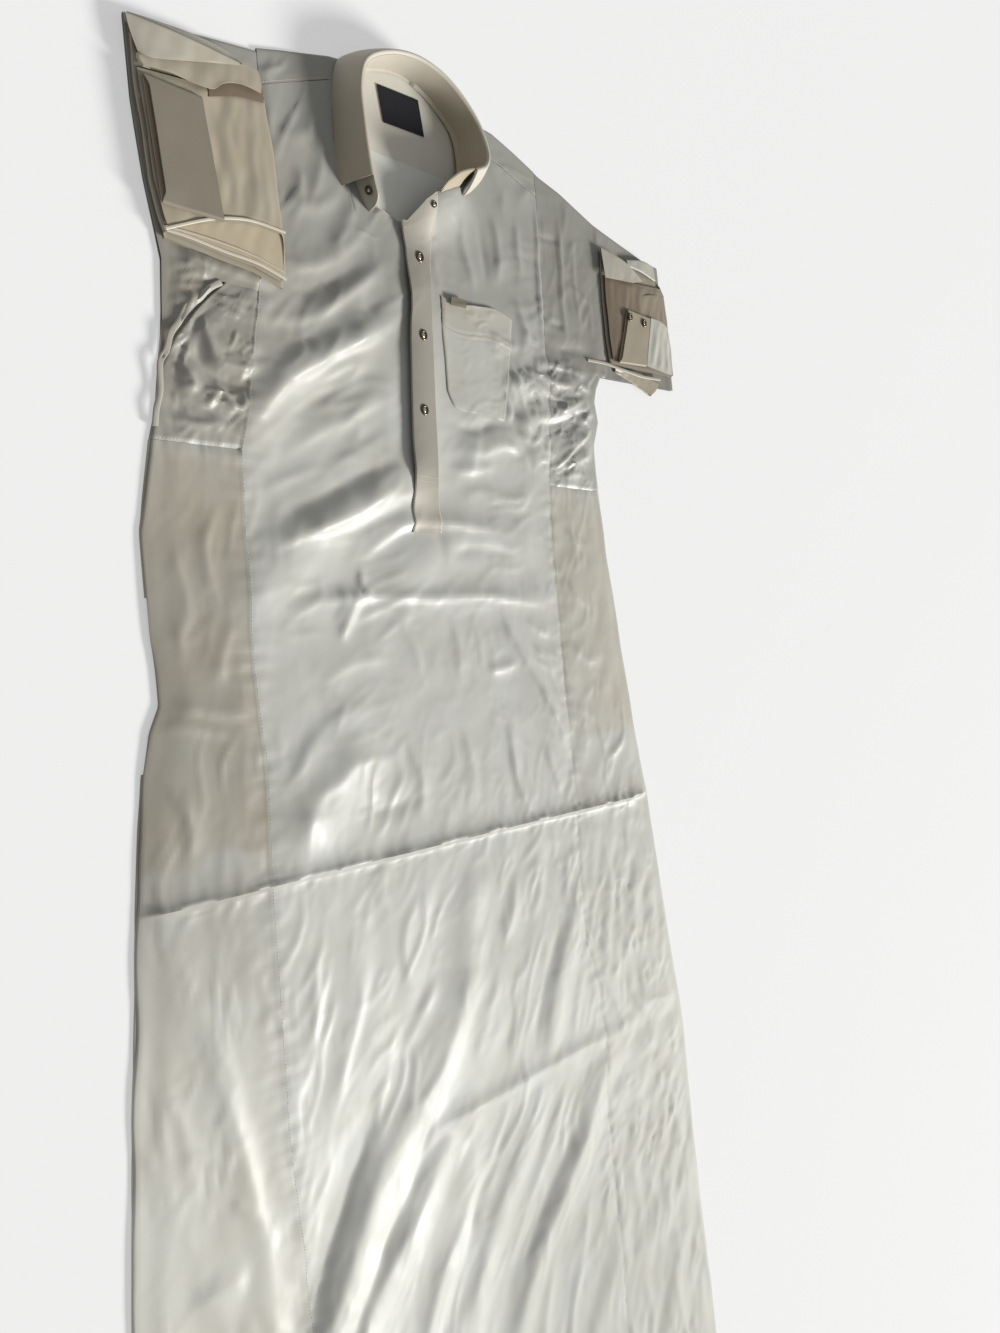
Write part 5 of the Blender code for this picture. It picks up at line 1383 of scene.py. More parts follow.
def run_mesh(outer, inner, heights, ends, ripple, seed, warm, deep, dim):
    """Runs of sleeve folded on each other: one sheet that turns back at each side in turn.
    outer and inner are rows of y and x; ends(run, share) says from where to where in y each
    run goes, and heights[run] where it lies."""
    runs = len(heights)
    rows_y, outer = outer.T
    inner = np.interp(rows_y, *inner.T)
    across = []
    for run in range(runs):
        across += list(run * 2 + np.linspace(0, 1, 46)[:-1])
        if run < runs - 1:
            across += list(run * 2 + 1 + np.linspace(0, 1, 8)[:-1])
    across.append(2 * runs - 1)
    mesh, way, up = sheet_mesh(across, np.linspace(0, 1, 62))
    run = np.minimum(np.floor(way / 2), runs - 1)
    share = np.clip(way - 2 * run, 0, 1)
    turn = np.clip(way - 2 * run - 1, 0, 1)
    turning = way - 2 * run > 1
    from_outer = run % 2 == 0
    place_in = np.where(from_outer, share, 1 - share)  # 0 at the outer edge, 1 at the inner
    low, high = ends(run, place_in)
    next_low, next_high = ends(np.minimum(run + 1, runs - 1), place_in)
    mix = soft_step(turn)
    low, high = low + (next_low - low) * mix, high + (next_high - high) * mix
    y = low + (high - low) * up
    edge_out, edge_in = np.interp(y, rows_y, outer), np.interp(y, rows_y, inner)
    slack = 0.0016 + 0.0013 * noise(y / 0.045, run * 1.7 + seed, 310 + seed)
    at_inner = place_in > 0.5
    sign = np.sign(edge_in - edge_out)
    edge_out = edge_out + sign * (0.0025 + slack * np.where(run > 0, 1.2, 0.3))
    edge_in = edge_in - sign * (0.0025 + slack)
    x = edge_out + (edge_in - edge_out) * place_in
    here = np.asarray(heights)[run.astype(int)]
    there = np.asarray(heights)[np.minimum(run + 1, runs - 1).astype(int)]
    z = np.where(turning, (here + there) / 2 - np.cos(turn * math.pi) * (there - here) / 2, here)
    x = x + np.where(turning, np.where(at_inner, sign, -sign) * 0.0025 * np.sin(turn * math.pi), 0)
    last = run == runs - 1
    wave = turned_noise(x, y, 82, 0.06, 0.013, 320 + seed) + 0.5 * noise(x / 0.011, y / 0.03, 323 + seed)
    rise = np.where(last, ripple, 0.0003) * (0.7 + wave) * soft_step(np.minimum(place_in, 1 - place_in) / 0.1)
    z = z + rise * soft_step(np.minimum(up, 1 - up) / 0.08 + 0.15)
    spots = stack(x, y - ORIGIN_Y, z)
    put(mesh, spots)
    lay_out(mesh, stack(way * 0.06, y))
    # painted shadow on the top run, most towards its inner side, a little on the others; painted shade on all
    tint_all(mesh, warm=warm, deep=np.where(last, deep * (0.4 + 0.6 * place_in), 0.12), dim=dim)
    return mesh


def joined(name, meshes):
    """Several sheets as one mesh."""
    work = bmesh.new()
    for mesh in meshes:
        work.from_mesh(mesh)
    bmesh.ops.recalc_face_normals(work, faces=work.faces)
    whole = as_mesh(work, name)
    for mesh in meshes:
        bpy.data.meshes.remove(mesh)
    return whole


LEFT_OUTER = places((
    1318, -290, 1338, -293, 1349, -296.9, 1375, -302.9, 1406, -306.9, 1437, -309.9, 1467, -312.1,
    1488, -312.5, 1506, -312.8
))
LEFT_INNER = places((1318, -174, 1366, -174.3, 1389, -176, 1442, -180.8, 1478, -187.2, 1506, -189.3))
LEFT_HEIGHTS = (0.0042, 0.0068, 0.0094, 0.0128)
LEFT_LIP_LOW = places((-290.3, 1336.5, -271.8, 1334.5, -237.6, 1330.1, -205.4, 1327.4, -173.8, 1319.7))
LEFT_LIP_HIGH = places((
    -293.3, 1337.5, -283.6, 1341.5, -258.9, 1349.6, -235.1, 1357.7, -208.6, 1362, -187.4, 1363.1,
    -174.6, 1361.9
))
RIGHT_OUTER = places((
    1330, 451.4, 1360.5, 449.3, 1405.1, 443.8, 1439.2, 437.3, 1457.4, 422.6, 1474.6, 419.5
))
RIGHT_INNER = places((
    1327.8, 312.3, 1354.5, 307.6, 1396, 303.7, 1431.7, 302.1, 1471.8, 304.1, 1497.9, 304.3
))
RIGHT_HEIGHTS = (0.0042, 0.0062, 0.0100)

# Each layer's shadow and shade numbers are painted into its colour.
LEFT_LAYERS = (
    # corner of the sleeve's top, turned down over the folds
    layer(
        (-308, 1474.2, 15, -295.3, 1472.7, 17.2, -254, 1485, 17.2, -214.1, 1497.6, 16.5),
        (-315, 1503, 12, -270, 1501.2, 16.6, -214.1, 1499, 16.5),
        west=(-313, 1490, 13.5), rolled="n", warm=0.6, ripple=0.4, dim=0.16,
    ),
    # strip under it, its left end rounded
    layer(
        (-303, 1464, 16, -283, 1465, 18.5, -263.4, 1464, 19, -244, 1465, 19.5, -232.7, 1473.8, 19.5,
         -215.7, 1479.7, 19, -194.6, 1479.5, 18),
        (-305, 1476, 14, -252.7, 1488, 15.5, -214.5, 1499, 15.5, -195, 1500.2, 15.5),
        east=(-193, 1490, 16.8), west=(-308, 1470, 15.8), rolled="w", warm=0.8, ripple=0.5, dim=0.24,
    ),
    # folds of the sleeve's top behind it
    layer(
        (-313, 1498, 10, -250, 1493, 12, -205, 1490, 12),
        (-312, 1505.5, 10, -276.1, 1507.5, 11.8, -240, 1503, 12.5, -206, 1496, 12),
        rolled="n", warm=0.3, deep=0.1, ripple=0.4,
    ),
    layer(
        (-305, 1498, 8, -250, 1493, 9, -190, 1485, 9),
        (-306, 1507, 7.8, -260, 1511, 9, -220, 1509, 9.5, -189, 1495, 9),
        rolled="n", warm=0.3, deep=0.15, ripple=0.4,
    ),
    # a sheet with dark brown painted shadow, for the inside of the sleeve seen under the strip
    layer(
        (-245, 1460, 14.8, -217, 1470, 14.8, -190, 1474, 14.5),
        (-245, 1476, 14, -217, 1485, 14, -190, 1488, 13.5),
        warm=0.8, deep=0.8, ripple=0.2,
    ),
    # the runs part like lips: upper hem, the inside in peach, painted as light coming through the cloth,
    # lower hem in two folds
    band(
        (-292.5, 1337.2, 14, -257.9, 1352.8, 15, -234.6, 1360.7, 15.2, -207.5, 1365.2, 15, -174.2, 1364.4,
         13.8),
        0.8, warm=0.6, dim=0,
    ),
    layer(
        (-289, 1340, 10, -236.8, 1335, 10.2, -174.1, 1325, 10),
        (-291.5, 1341, 10.4, -257.9, 1351.8, 11.2, -234.6, 1359.7, 11.5, -207.5, 1364.2, 11.5, -174.2,
         1363.4, 11.2),
        warm=1, ripple=0.4, dim=0.14,
    ),
    band(
        (-289, 1338.5, 10, -270.4, 1337.2, 11, -236.8, 1333.2, 11.2, -204.1, 1330.6, 11.2, -173.5, 1323.2,
         10.4),
        0.9, warm=0.6, dim=0,
    ),
    band(
        (-285, 1340.8, 11, -250, 1340, 11.8, -210, 1336.5, 11.8, -176, 1329, 11.2),
        0.6, warm=0.8, dim=0.1,
    ),
    # the gusset's seam, rolled up like a rope
    band(
        (-239, 1307.5, 6.6, -252, 1299, 8.6, -262, 1288, 7.2, -274, 1279, 8.2, -281, 1266, 7, -290, 1254,
         8.4, -294, 1240, 7, -301, 1228, 8, -301.5, 1206.5, 6.4, -306.2, 1190, 7, -307.5, 1176, 5.2),
        1.8, warm=0.45, ripple=2, dim=0.4,
    ),
)
RIGHT_LAYERS = (
    # corner turned down, a light triangle
    layer(
        (302.3, 1431.5, 14, 335, 1434.5, 15, 359.4, 1436.7, 15.5),
        (299.3, 1467.8, 11.5, 344.2, 1460, 14.5, 382, 1444.3, 14),
        rolled="n", warm=0.5, ripple=0.5,
    ),
    # second corner beyond it
    layer(
        (355, 1460, 11, 382.2, 1458.5, 12, 416.8, 1454, 10.5),
        (355, 1466, 10, 390, 1472, 11.5, 415, 1470, 9.5),
        rolled="sn", warm=0.3, ripple=0.4,
    ),
    # a fold across the run above the cuff, brown with painted shadow
    layer(
        (370, 1402, 10.5, 405, 1401, 11.5, 440, 1400, 10.5),
        (376.2, 1425.1, 11, 405, 1431.5, 12.2, 435, 1437.4, 10),
        rolled="n", warm=0.8, deep=0.45, ripple=0.6, dim=0.36,
    ),
    # end of the sleeve, gathered into the cuff
    layer(
        (381.3, 1334.1, 15, 410, 1332.2, 15, 442.5, 1331.7, 12.5),
        (396, 1399.2, 15, 420, 1398.5, 14, 438.5, 1395, 11.2),
        east=(444, 1365.3, 11.8), rolled="n", warm=0.35, ripple=1.3, dim=0.25,
    ),
    # bottom of the first run, rolled over at its end, with painted shadow
    layer(
        (325, 1320, 3, 356, 1312, 4, 402, 1301, 4.5),
        (325, 1324.5, 7, 375.8, 1324, 8.5, 416.5, 1318, 7),
        east=(412, 1309, 6), rolled="ne", warm=0.8, deep=0.35, ripple=0.5,
    ),
    # hem folded up along the first run's lower edge
    band(
        (270, 1326, 5, 302.9, 1326.8, 6.6, 340, 1323.5, 8.6, 379, 1321.5, 9, 420, 1324, 8.6),
        1.2, warm=0.6,
    ),
)


class THOBE_OT_left_folds(bpy.types.Operator):
    """Stack the folded left sleeve, its corners turned over"""

    bl_idname = "thobe.left_folds"
    bl_label = "Left sleeve's folds"

    def execute(self, context):
        def ends(run, place_in):
            x = -0.291 + 0.117 * place_in
            low = np.where(run >= 3, np.interp(x, *LEFT_LIP_HIGH.T), np.interp(x, *LEFT_LIP_LOW.T))
            low = np.where(run < 2, low - 0.004, low)
            high = np.where(run >= 3, 1.462 + 0.0150 * place_in, 1.500 - 0.006 * run)
            return low, high

        runs = run_mesh(LEFT_OUTER, LEFT_INNER, LEFT_HEIGHTS, ends, 0.0015, 1, 0.85, 0.06, 0.34)
        mesh = joined("left_folds", [runs] + [layer_mesh(layer) for layer in LEFT_LAYERS])
        nodes = ("sleeve_left_folds", "sleeve_left_flap")
        piece = finish_piece("sleeve_left_folds_satin", mesh, SHEER, replaced=nodes, slot="satin")
        return {"FINISHED"}


class THOBE_OT_right_folds(bpy.types.Operator):
    """Stack the folded right sleeve, its corners turned over"""

    bl_idname = "thobe.right_folds"
    bl_label = "Right sleeve's folds"

    def execute(self, context):
        def ends(run, place_in):
            low = np.where(run >= 2, 1.3343 - 0.0035 * place_in, 1.3325 - 0.0045 * place_in)
            high = np.where(run >= 2, 1.4450 - 0.0110 * place_in, 1.4560 + 0.012 * place_in)
            return low, high

        runs = run_mesh(RIGHT_OUTER, RIGHT_INNER, RIGHT_HEIGHTS, ends, 0.0012, 2, 0.8, 0.9, 0.42)
        mesh = joined("right_folds", [runs] + [layer_mesh(layer) for layer in RIGHT_LAYERS])
        nodes = ("sleeve_right_folds",)
        piece = finish_piece("sleeve_right_folds_satin", mesh, SHEER, replaced=nodes, slot="satin")
        return {"FINISHED"}


# Cuffs: the two corners at the wrist's opening and the two at the seam with the sleeve
Cuff = namedtuple("Cuff", "open sewn height gape")
CUFFS = {
    "left": Cuff(
        places((-295, 1356.5, -305.5, 1457.5)), places((-239.2, 1356, -254, 1456)), 0.0156, 0.0028
    ),
    "right": Cuff(
        places((323.2, 1329.5, 346.3, 1400.6)), places((379.8, 1333.6, 394, 1398.5)), 0.0128, 0.0016
    ),
}


def cuff_spots(cuff, around, along):
    """A flattened tube: around 0 to 1 under, to 2 over and back; along from wrist to seam."""
    ends = [start + (end - start) * along[:, None] for start, end in zip(cuff.open, cuff.sewn)]
    under = around < 1
    share = np.where(under, around, 2 - around)
    flat = ends[0] + (ends[1] - ends[0]) * share[:, None]
    closed = np.minimum(share, 1 - share)
    gape = 0.0014 + (cuff.gape - 0.0014) * (1 - soft_step(along * 1.1)) * soft_step(closed / 0.16) ** 0.7
    edge = np.sqrt(np.clip(1 - (1 - np.clip(closed / 0.022, 0, 1)) ** 2, 0, 1))
    top = cuff.height + (gape + 0.0009 * along) * edge
    bottom = cuff.height - 0.0003 + 0.0005 * (1 - edge)
    z = np.where(under, bottom, top)
    shape = np.concatenate([flat, z[:, None]], axis=1)
    # the upper layer stands back a little from the lower one at the wrist
    pull = np.where(under, 0, 0.0035 * (1 - along) * soft_step(closed / 0.1))
    shape[:, 0] += np.sign(cuff.sewn[0, 0] - cuff.open[0, 0]) * pull
    middle_x = (ends[1] + ends[0])[:, 0] / 2
    shape[:, 2] += 0.0004 * noise(middle_x / 0.03, flat[:, 1] / 0.025, 401) * edge
    return shape


class THOBE_OT_cuffs(bpy.types.Operator):
    """Form the two stiff cuffs, gaping at the wrist"""

    bl_idname = "thobe.cuffs"
    bl_label = "Cuffs"

    def execute(self, context):
        # closer together round the two folded edges, at 0, 1 and 2
        under, over = np.linspace(0.04, 0.96, 40), np.linspace(1.04, 1.96, 40)
        edges = np.linspace(0, 0.04, 6)[:-1], np.linspace(0.96, 1.04, 11)[1:-1], np.linspace(1.96, 2, 6)[1:]
        around = np.concatenate([edges[0], under, edges[1], over, edges[2]])
        for side, cuff in CUFFS.items():
            mesh, way, along = sheet_mesh(around, cells(0, 1, 0.04))
            spots = cuff_spots(cuff, way, along)
            spots[:, 1] -= ORIGIN_Y
            put(mesh, spots)
            lay_out(mesh, stack(along * 0.055, way * 0.1))
            # painted shade on the top layer, most on the left cuff; painted shadow on the lower layer, seen
            # inside the gaping wrist
            under, dim = way < 1, {"left": 0.68, "right": 0.42}[side]
            warm, deep = np.where(under, 0.9, 0.85), np.where(under, 0.6, 0.0)
            tint_all(mesh, warm=warm, deep=deep, dim=np.where(under, 0.2, dim))
            merged(mesh)
            piece = finish_piece(
                f"cuff_{side}_satin", mesh, FUSED, replaced=("cuff_" + side,), slot="satin", thickness=0.0012
            )
        return {"FINISHED"}


# ---------------------------------------------------------------- collar


NECK_MIDDLE = (-0.012, 1.49, 0)
BAND_HEIGHT = 0.034
# The band's ends are bare: the fall starts and stops this far round the neck
FALL_START, FALL_END = 3 / 34, 30 / 34


def collar_value(name, share):
    """A column of the collar's table, on a smooth curve through its rows."""
    values = column(COLLAR, name)
    last = len(COLLAR) - 1
    at = np.clip(share, 0, 1) * last
    i = np.minimum(at.astype(int), last - 1)
    t = at - i
    a, b, c, d = [values[np.clip(i + k, 0, last)] for k in (-1, 0, 1, 2)]
    bend = (2 * a - 5 * b + 4 * c - d) * t * t + (3 * b - a - 3 * c + d) * t * t * t
    return b + ((c - a) * t + bend) / 2


def collar_line(line, share):
    """Places on the neck seam, the roll or the fall's edge, in table axes."""
    spots = np.stack([collar_value(line + "_" + axis, share) for axis in "xyz"], axis=-1)
    if line != "roll":
        ahead = share > 0.5
        under = on_front(spots[:, 0], spots[:, 1], lifted=True, detail=0)[:, 2] + 0.0018
        spots[:, 2] = np.where(ahead, np.maximum(spots[:, 2], under), spots[:, 2])
    return spots


def unit(rows):
    return rows / np.maximum(np.linalg.norm(rows, axis=1, keepdims=True), 1e-9)


class THOBE_OT_collar(bpy.types.Operator):
    """Stand the collar band up round the neck and turn its fall over"""

    bl_idname = "thobe.collar"
    bl_label = "Collar"

    def execute(self, context):
        mesh, share, up = sheet_mesh(cells(0, 1, 0.0055), [-0.12, -0.06, *cells(0, 1, 0.055)])
        foot, up = np.clip(-up, 0, 1) * BAND_HEIGHT, np.clip(up, 0, 1)
        seam, roll = collar_line("seam", share), collar_line("roll", share)
        roll[:, 2] -= 0.0012
        # the band's ends are cut round at their top corners
        length = 0.40
        from_end = np.minimum(share, 1 - share) * length
        height = np.sqrt(np.clip(1 - (1 - np.clip(from_end / 0.016, 0, 1)) ** 2, 0, 1)) * 0.9 + 0.1
        spots = seam + (roll - seam) * (up * height)[:, None]
        outwards = unit((seam - NECK_MIDDLE) * [1, 1, 0])
        spots += outwards * (0.0030 * np.sin(math.pi * up * 0.9) * height)[:, None] * -0.6
        # its foot turns in on to the yoke, where the seam hides it
        spots -= outwards * foot[:, None]
        spots[:, 2] -= foot * 0.6
        spots[:, 1] -= ORIGIN_Y
        flat = stack(share * length, up * BAND_HEIGHT - foot)
        # painted shade, browner and darker, on the band's right
        right = soft_step((share - 0.45) / 0.25)
        piece = cloth_piece(
            "collar_stand_satin", mesh, spots, flat, 0.3 + 0.6 * right,
            dim=0.30 * right, material=FUSED, replaced=("collar_stand",), thickness=0.0016,
        )

        mesh, share, down = sheet_mesh(cells(FALL_START, FALL_END, 0.0055), cells(0, 1, 0.045))
        roll, edge = collar_line("roll", share), collar_line("edge", share)
        out = unit((edge - roll) * [1, 1, 0])
        # over the roll on a round, then down to the edge
        turn = np.clip(down / 0.25, 0, 1)
        angle = math.pi * (0.02 + 0.5 * turn)
        radius = 0.0034
        spots = roll - out * 0.0008
        spots = spots + out * (radius * (1 - np.cos(angle)))[:, None]
        spots[:, 2] += radius * (np.sin(angle) - 1) + 0.0002
        rest = np.clip((down - 0.25) / 0.75, 0, 1)
        spots = spots + (edge - spots) * rest[:, None]
        spots += out * (0.0022 * np.sin(math.pi * rest))[:, None]
        spots[:, 1] -= ORIGIN_Y
        flat = stack(share * 0.42, 1 + down * 0.038)
        # painted shade, browner and darker, on the fall's left
        left = soft_step((0.36 - share) / 0.16)
        piece = cloth_piece(
            "collar_fall_satin", mesh, spots, flat, 0.25 + 0.5 * left,
            dim=0.25 * left, material=FUSED, replaced=("collar_fall",), thickness=0.0014,
        )
        return {"FINISHED"}


# ---------------------------------------------------------------- placket, pocket and trims


def on_placket(x, y, out):
    """Places on the stiff placket, which bridges the small creases of the front."""
    spots = on_front(x, y, lifted=True, out=out, detail=0.55)
    spots[:, 2] = np.maximum(spots[:, 2], on_front(x, y, lifted=True, out=out * 0.7)[:, 2])
    return spots


class THOBE_OT_placket(bpy.types.Operator):
    """Lay the placket over the opening, and the strip that it closes on"""

    bl_idname = "thobe.placket"
    bl_label = "Placket"

    def execute(self, context):
        # closer together at the two edges, where the strip is turned under
        edge = np.array([0, 0.06, 0.15, 0.3, 0.5, 0.7, 0.85])
        middle = SLIT_LEFT + np.linspace(0, 1, 7)[:-1]
        knots = np.concatenate([PLACKET_LEFT + edge, middle, [SLIT_RIGHT], (PLACKET_RIGHT - edge)[::-1]])
        rows = np.concatenate([cells(PLACKET_BOTTOM, TOP_BLOCK, 0.0034)[:-1], 2 + cells(0, 1, 0.034)])
        mesh, knot, row = sheet_mesh(knots, rows)
        x, y = front_flat(knot, row)
        edge = np.minimum(knot - PLACKET_LEFT, PLACKET_RIGHT - knot)
        out = 0.0007 + 0.0010 * np.sqrt(np.clip(edge / 0.15, 0, 1))
        spots = on_placket(x, y, out)
        # painted shade down the placket's middle part
        dim = 0.10 + 0.42 * soft_step((1.43 - y) / 0.05) * soft_step((y - 1.12) / 0.05)
        piece = cloth_piece(
            "placket_satin", mesh, spots, stack(x, y), 0.2,
            dim=dim, material=FUSED, replaced=("placket",), thickness=0.0010,
        )

        rows = np.concatenate([cells(1.150, TOP_BLOCK, 0.008)[:-1], 2 + cells(0, 0.75, 0.08)])
        mesh, knot, row = sheet_mesh(np.linspace(SLIT_LEFT, SLIT_RIGHT, 8), rows)
        x, y = front_flat(knot, row)
        inset = np.where(knot < 10.5, 0.0004, -0.0004) * np.abs(knot - 10.5) * 2
        spots = on_front(x + inset, y, lifted=False)
        piece = cloth_piece(
            "under_placket_satin", mesh, spots, stack(x, y), 0.9,
            material=FUSED, replaced=("under_placket",), thickness=0.0008,
        )
        return {"FINISHED"}


POCKET = layer(
    (26, 1253, 0, 31, 1243, 0, 38, 1236, 0, 56.7, 1233.5, 0, 87.8, 1234, 0, 113.2, 1231.2, 0),
    (23.1, 1352, 0, 33, 1348, 0, 58.1, 1348, 0, 100, 1353, 0, 133.9, 1347.5, 0),
    east=(119.7, 1272.3, 0, 127.9, 1312.7, 0), west=(25, 1284.4, 0, 23.2, 1315.5, 0), ripple=0,
)
POCKET_HEM = 0.70  # share of the pocket's height at which its hem is sewn down


def pocket_flat(u, v):
    """Table x and y on the breast pocket, u across and v up."""
    return layer_spots(POCKET, u, v)[:, :2].T


def pocket_gape(u, v):
    """The pocket's mouth stands open a little in its middle."""
    return 0.0022 * soft_step((v - 0.55) / 0.45) * np.sin(math.pi * u)


class THOBE_OT_pocket(bpy.types.Operator):
    """Set the breast pocket on the front, with its hem, and show the side bags"""

    bl_idname = "thobe.pocket"
    bl_label = "Pockets"

    def execute(self, context):
        rows = np.concatenate([cells(0, POCKET_HEM, 0.02)[:-1], cells(POCKET_HEM, 1, 0.012)])
        mesh, u, v = sheet_mesh(cells(0, 1, 0.021), rows)
        x, y = pocket_flat(u, v)
        edge = np.minimum(np.minimum(u, 1 - u), v)
        hem = soft_step((v - 0.695) / 0.012)
        out = 0.0006 + 0.0009 * np.sqrt(np.clip(edge / 0.05, 0, 1)) + 0.0004 * hem
        out = out + pocket_gape(u, v)
        sewn = bell((v - 0.735) / 0.012) + bell((v - POCKET_HEM) / 0.008)
        out = out - 0.0006 * sewn * soft_step(edge / 0.02)
        spots = on_front(x, y, lifted=True, out=out, detail=1.0)
        # painted shade over the whole pocket, a little more on its hem
        piece = cloth_piece(
            "breast_pocket_satin", mesh, spots, stack(x, y), 0.15 + 0.2 * hem,
            dim=0.30 + 0.06 * hem, replaced=("breast_pocket",),
        )
        # the pocket bags stay as they are, between the gores' layers
        for side in ("left", "right"):
            bag = bpy.data.objects["side_pocket_" + side]
            for place in bag.material_slots:
                place.material = bpy.data.materials["pocketing_cotton"]
        return {"FINISHED"}


def frame_at(x, y):
    """Place and outward direction of the placket's face at one spot, in the part's axes."""
    low, high = [on_front([x], [y], lifted=True, out=k, detail=0.55)[0] for k in (0.0, 0.001)]
    return Vector(on_placket([x], [y], 0.0017)[0]), Vector(high - low).normalized()


def lathe(profile, sides=28):
    """A round part: its profile of radius and height, spun round the z axis."""
    work = bmesh.new()
    points = [work.verts.new((radius, 0, height)) for radius, height in profile]
    edges = [work.edges.new(pair) for pair in zip(points[:-1], points[1:])]
    bmesh.ops.spin(
        work, geom=points + edges, axis=(0, 0, 1), cent=(0, 0, 0),
        steps=sides, angle=2 * math.pi, use_merge=True,
    )
    bmesh.ops.remove_doubles(work, verts=work.verts, dist=1e-6)
    bmesh.ops.recalc_face_normals(work, faces=work.faces)
    return work


# Profiles, radius and height in millimetres: the pronged ring and the cap inside it
SNAP_RING = (
    (2.5, 0.3), (2.7, 1.15), (3.3, 1.6), (4.2, 1.75), (5.1, 1.4), (5.5, 0.7), (5.3, 0), (2.6, 0), (2.5, 0.3),
)
SNAP_CAP = ((0.0, 1.25), (1.2, 1.2), (2.0, 1.0), (2.5, 0.6), (2.6, 0.1), (0.0, 0.1))


def make_snap(name, middle, out, scale, stretch, node):
    """A pressed snap: a dark ring round a paler cap, set in the cloth."""
    work = bmesh.new()
    for index, profile in enumerate((SNAP_RING, SNAP_CAP)):
        part = lathe([(radius / 1000 * scale, height / 1000) for radius, height in profile])
        for face in part.faces:
            face.material_index = index
        mesh = as_mesh(part, "part")
        work.from_mesh(mesh)
        bpy.data.meshes.remove(mesh)
    bmesh.ops.scale(work, vec=(1, stretch, 1), verts=work.verts)
    turn = Vector((0, 0, 1)).rotation_difference(out).to_matrix().to_4x4()
    bmesh.ops.transform(work, matrix=turn, verts=work.verts)
    bmesh.ops.translate(work, vec=middle, verts=work.verts)
    mesh = as_mesh(work, name)
    piece = finish_piece(name, mesh, "oxidised_snap_metal", replaced=(node,), slot="snap_metal", thickness=0)
    mesh.materials.append(bpy.data.materials["nickel_snap_cap"])
    return piece


class THOBE_OT_snaps(bpy.types.Operator):
    """Press the snaps into placket, collar band and cuff"""

    bl_idname = "thobe.snaps"
    bl_label = "Snaps"

    def execute(self, context):
        for number, (x, y) in enumerate(PLACKET_SNAPS, 1):
            spot, out = frame_at(x, y)
            out = (out + Vector((0, 0, 1.5 if number == 1 else 0))).normalized()
            size = 0.6 if number == 1 else 0.95
            node = f"placket_snap_{number}"
            make_snap(node + "_metal", spot + out * 0.0003, out, size, 1.1, node)
        share = 2 / 34
        seam, roll = [Vector(collar_line(line, np.array([share]))[0]) for line in ("seam", "roll")]
        ahead = Vector(collar_line("seam", np.array([share + 0.02]))[0]) - seam
        out = -ahead.cross(roll - seam).normalized()
        middle = seam.lerp(roll, 0.55) + out * 0.0010 - Vector((0, ORIGIN_Y, 0))
        make_snap("band_snap_metal", middle, out, 0.8, 1, "band_snap")
        for number, (x, y) in enumerate(CUFF_SNAPS, 1):
            spot = Vector((x, y - ORIGIN_Y, 0.0158))
            make_snap(f"cuff_snap_{number}_metal", spot, Vector((0, 0, 1)), 0.8, 1.2, f"cuff_snap_{number}")
        return {"FINISHED"}


def four_sided(corners, across, up):
    """A flat grid between four corners: its mesh, each place's shares, and its x and y."""
    mesh, u, v = sheet_mesh(cells(0, 1, across), cells(0, 1, up))
    south_west, south_east, north_east, north_west = np.array(corners)
    south = south_west + (south_east - south_west) * u[:, None]
    north = north_west + (north_east - north_west) * u[:, None]
    return mesh, u, v, south + (north - south) * v[:, None]


class THOBE_OT_label(bpy.types.Operator):
    """Sew the plain woven label inside the yoke and the small tab on the pocket"""

    bl_idname = "thobe.label"
    bl_label = "Label and tab"

    def execute(self, context):
        mesh, u, v, flat = four_sided(LABEL, 0.04, 0.05)
        edge = rim_distance(u, v)
        z = 0.0019 + 0.0004 * noise(u * 3, v * 2, 501) * edge + 0.0003 * soft_step(edge / 0.1)
        put(mesh, np.stack([flat[:, 0], flat[:, 1] - ORIGIN_Y, z], axis=-1))
        lay_out(mesh, flat)
        nodes = ("neck_label",)
        piece = finish_piece("neck_label_tape", mesh, "black_woven_tape", replaced=nodes, slot="label")

        mesh, u, v, flat = four_sided(TAB, 0.08, 0.12)
        put(mesh, on_front(flat[:, 0], flat[:, 1], lifted=True, out=0.0050))
        lay_out(mesh, flat)
        piece = finish_piece(
            "pocket_tab_tape", mesh, "grey_woven_tape",
            replaced=("pocket_tab",), slot="label", thickness=0.0008,
        )
        return {"FINISHED"}


# ---------------------------------------------------------------- stitching


def stitches(lines, pitch=0.0030, length=0.0022, radius=0.00022):
    """One small thread capsule for each stitch along the lines; each line is its places."""
    middles, ways = [], []
    for line in lines:
        run = run_along(line)[1]
        at = np.arange(pitch / 2, run[-1] - length / 2, pitch)
        start, end = [
            stack(*[np.interp(at + k * length / 2, run, axis) for axis in line.T]) for k in (-1, 1)
        ]
        middles.append((start + end) / 2)
        ways.append(unit(end - start))
    middles, ways = np.concatenate(middles), np.concatenate(ways)
    work = bmesh.new()
    bmesh.ops.create_icosphere(work, subdivisions=1, radius=1)
    base = np.array([vert.co for vert in work.verts])
    while len(work.verts) < len(base) * len(middles):
        bmesh.ops.duplicate(work, geom=work.verts[:] + work.edges[:] + work.faces[:])
    extra = work.verts[:][len(base) * len(middles):]
    bmesh.ops.delete(work, geom=extra, context="VERTS")
    mesh = as_mesh(work, "stitches")
    up = np.array([0.0, 0.0, 1.0])
    side = unit(np.cross(ways, up) + 1e-9)
    top = np.cross(side, ways)
    spots = (
        middles[:, None]
        + base[None, :, :1] * ways[:, None] * length / 2
        + base[None, :, 1:2] * side[:, None] * radius
        + base[None, :, 2:] * top[:, None] * radius
    )
    put(mesh, spots.reshape(-1, 3))
    return mesh


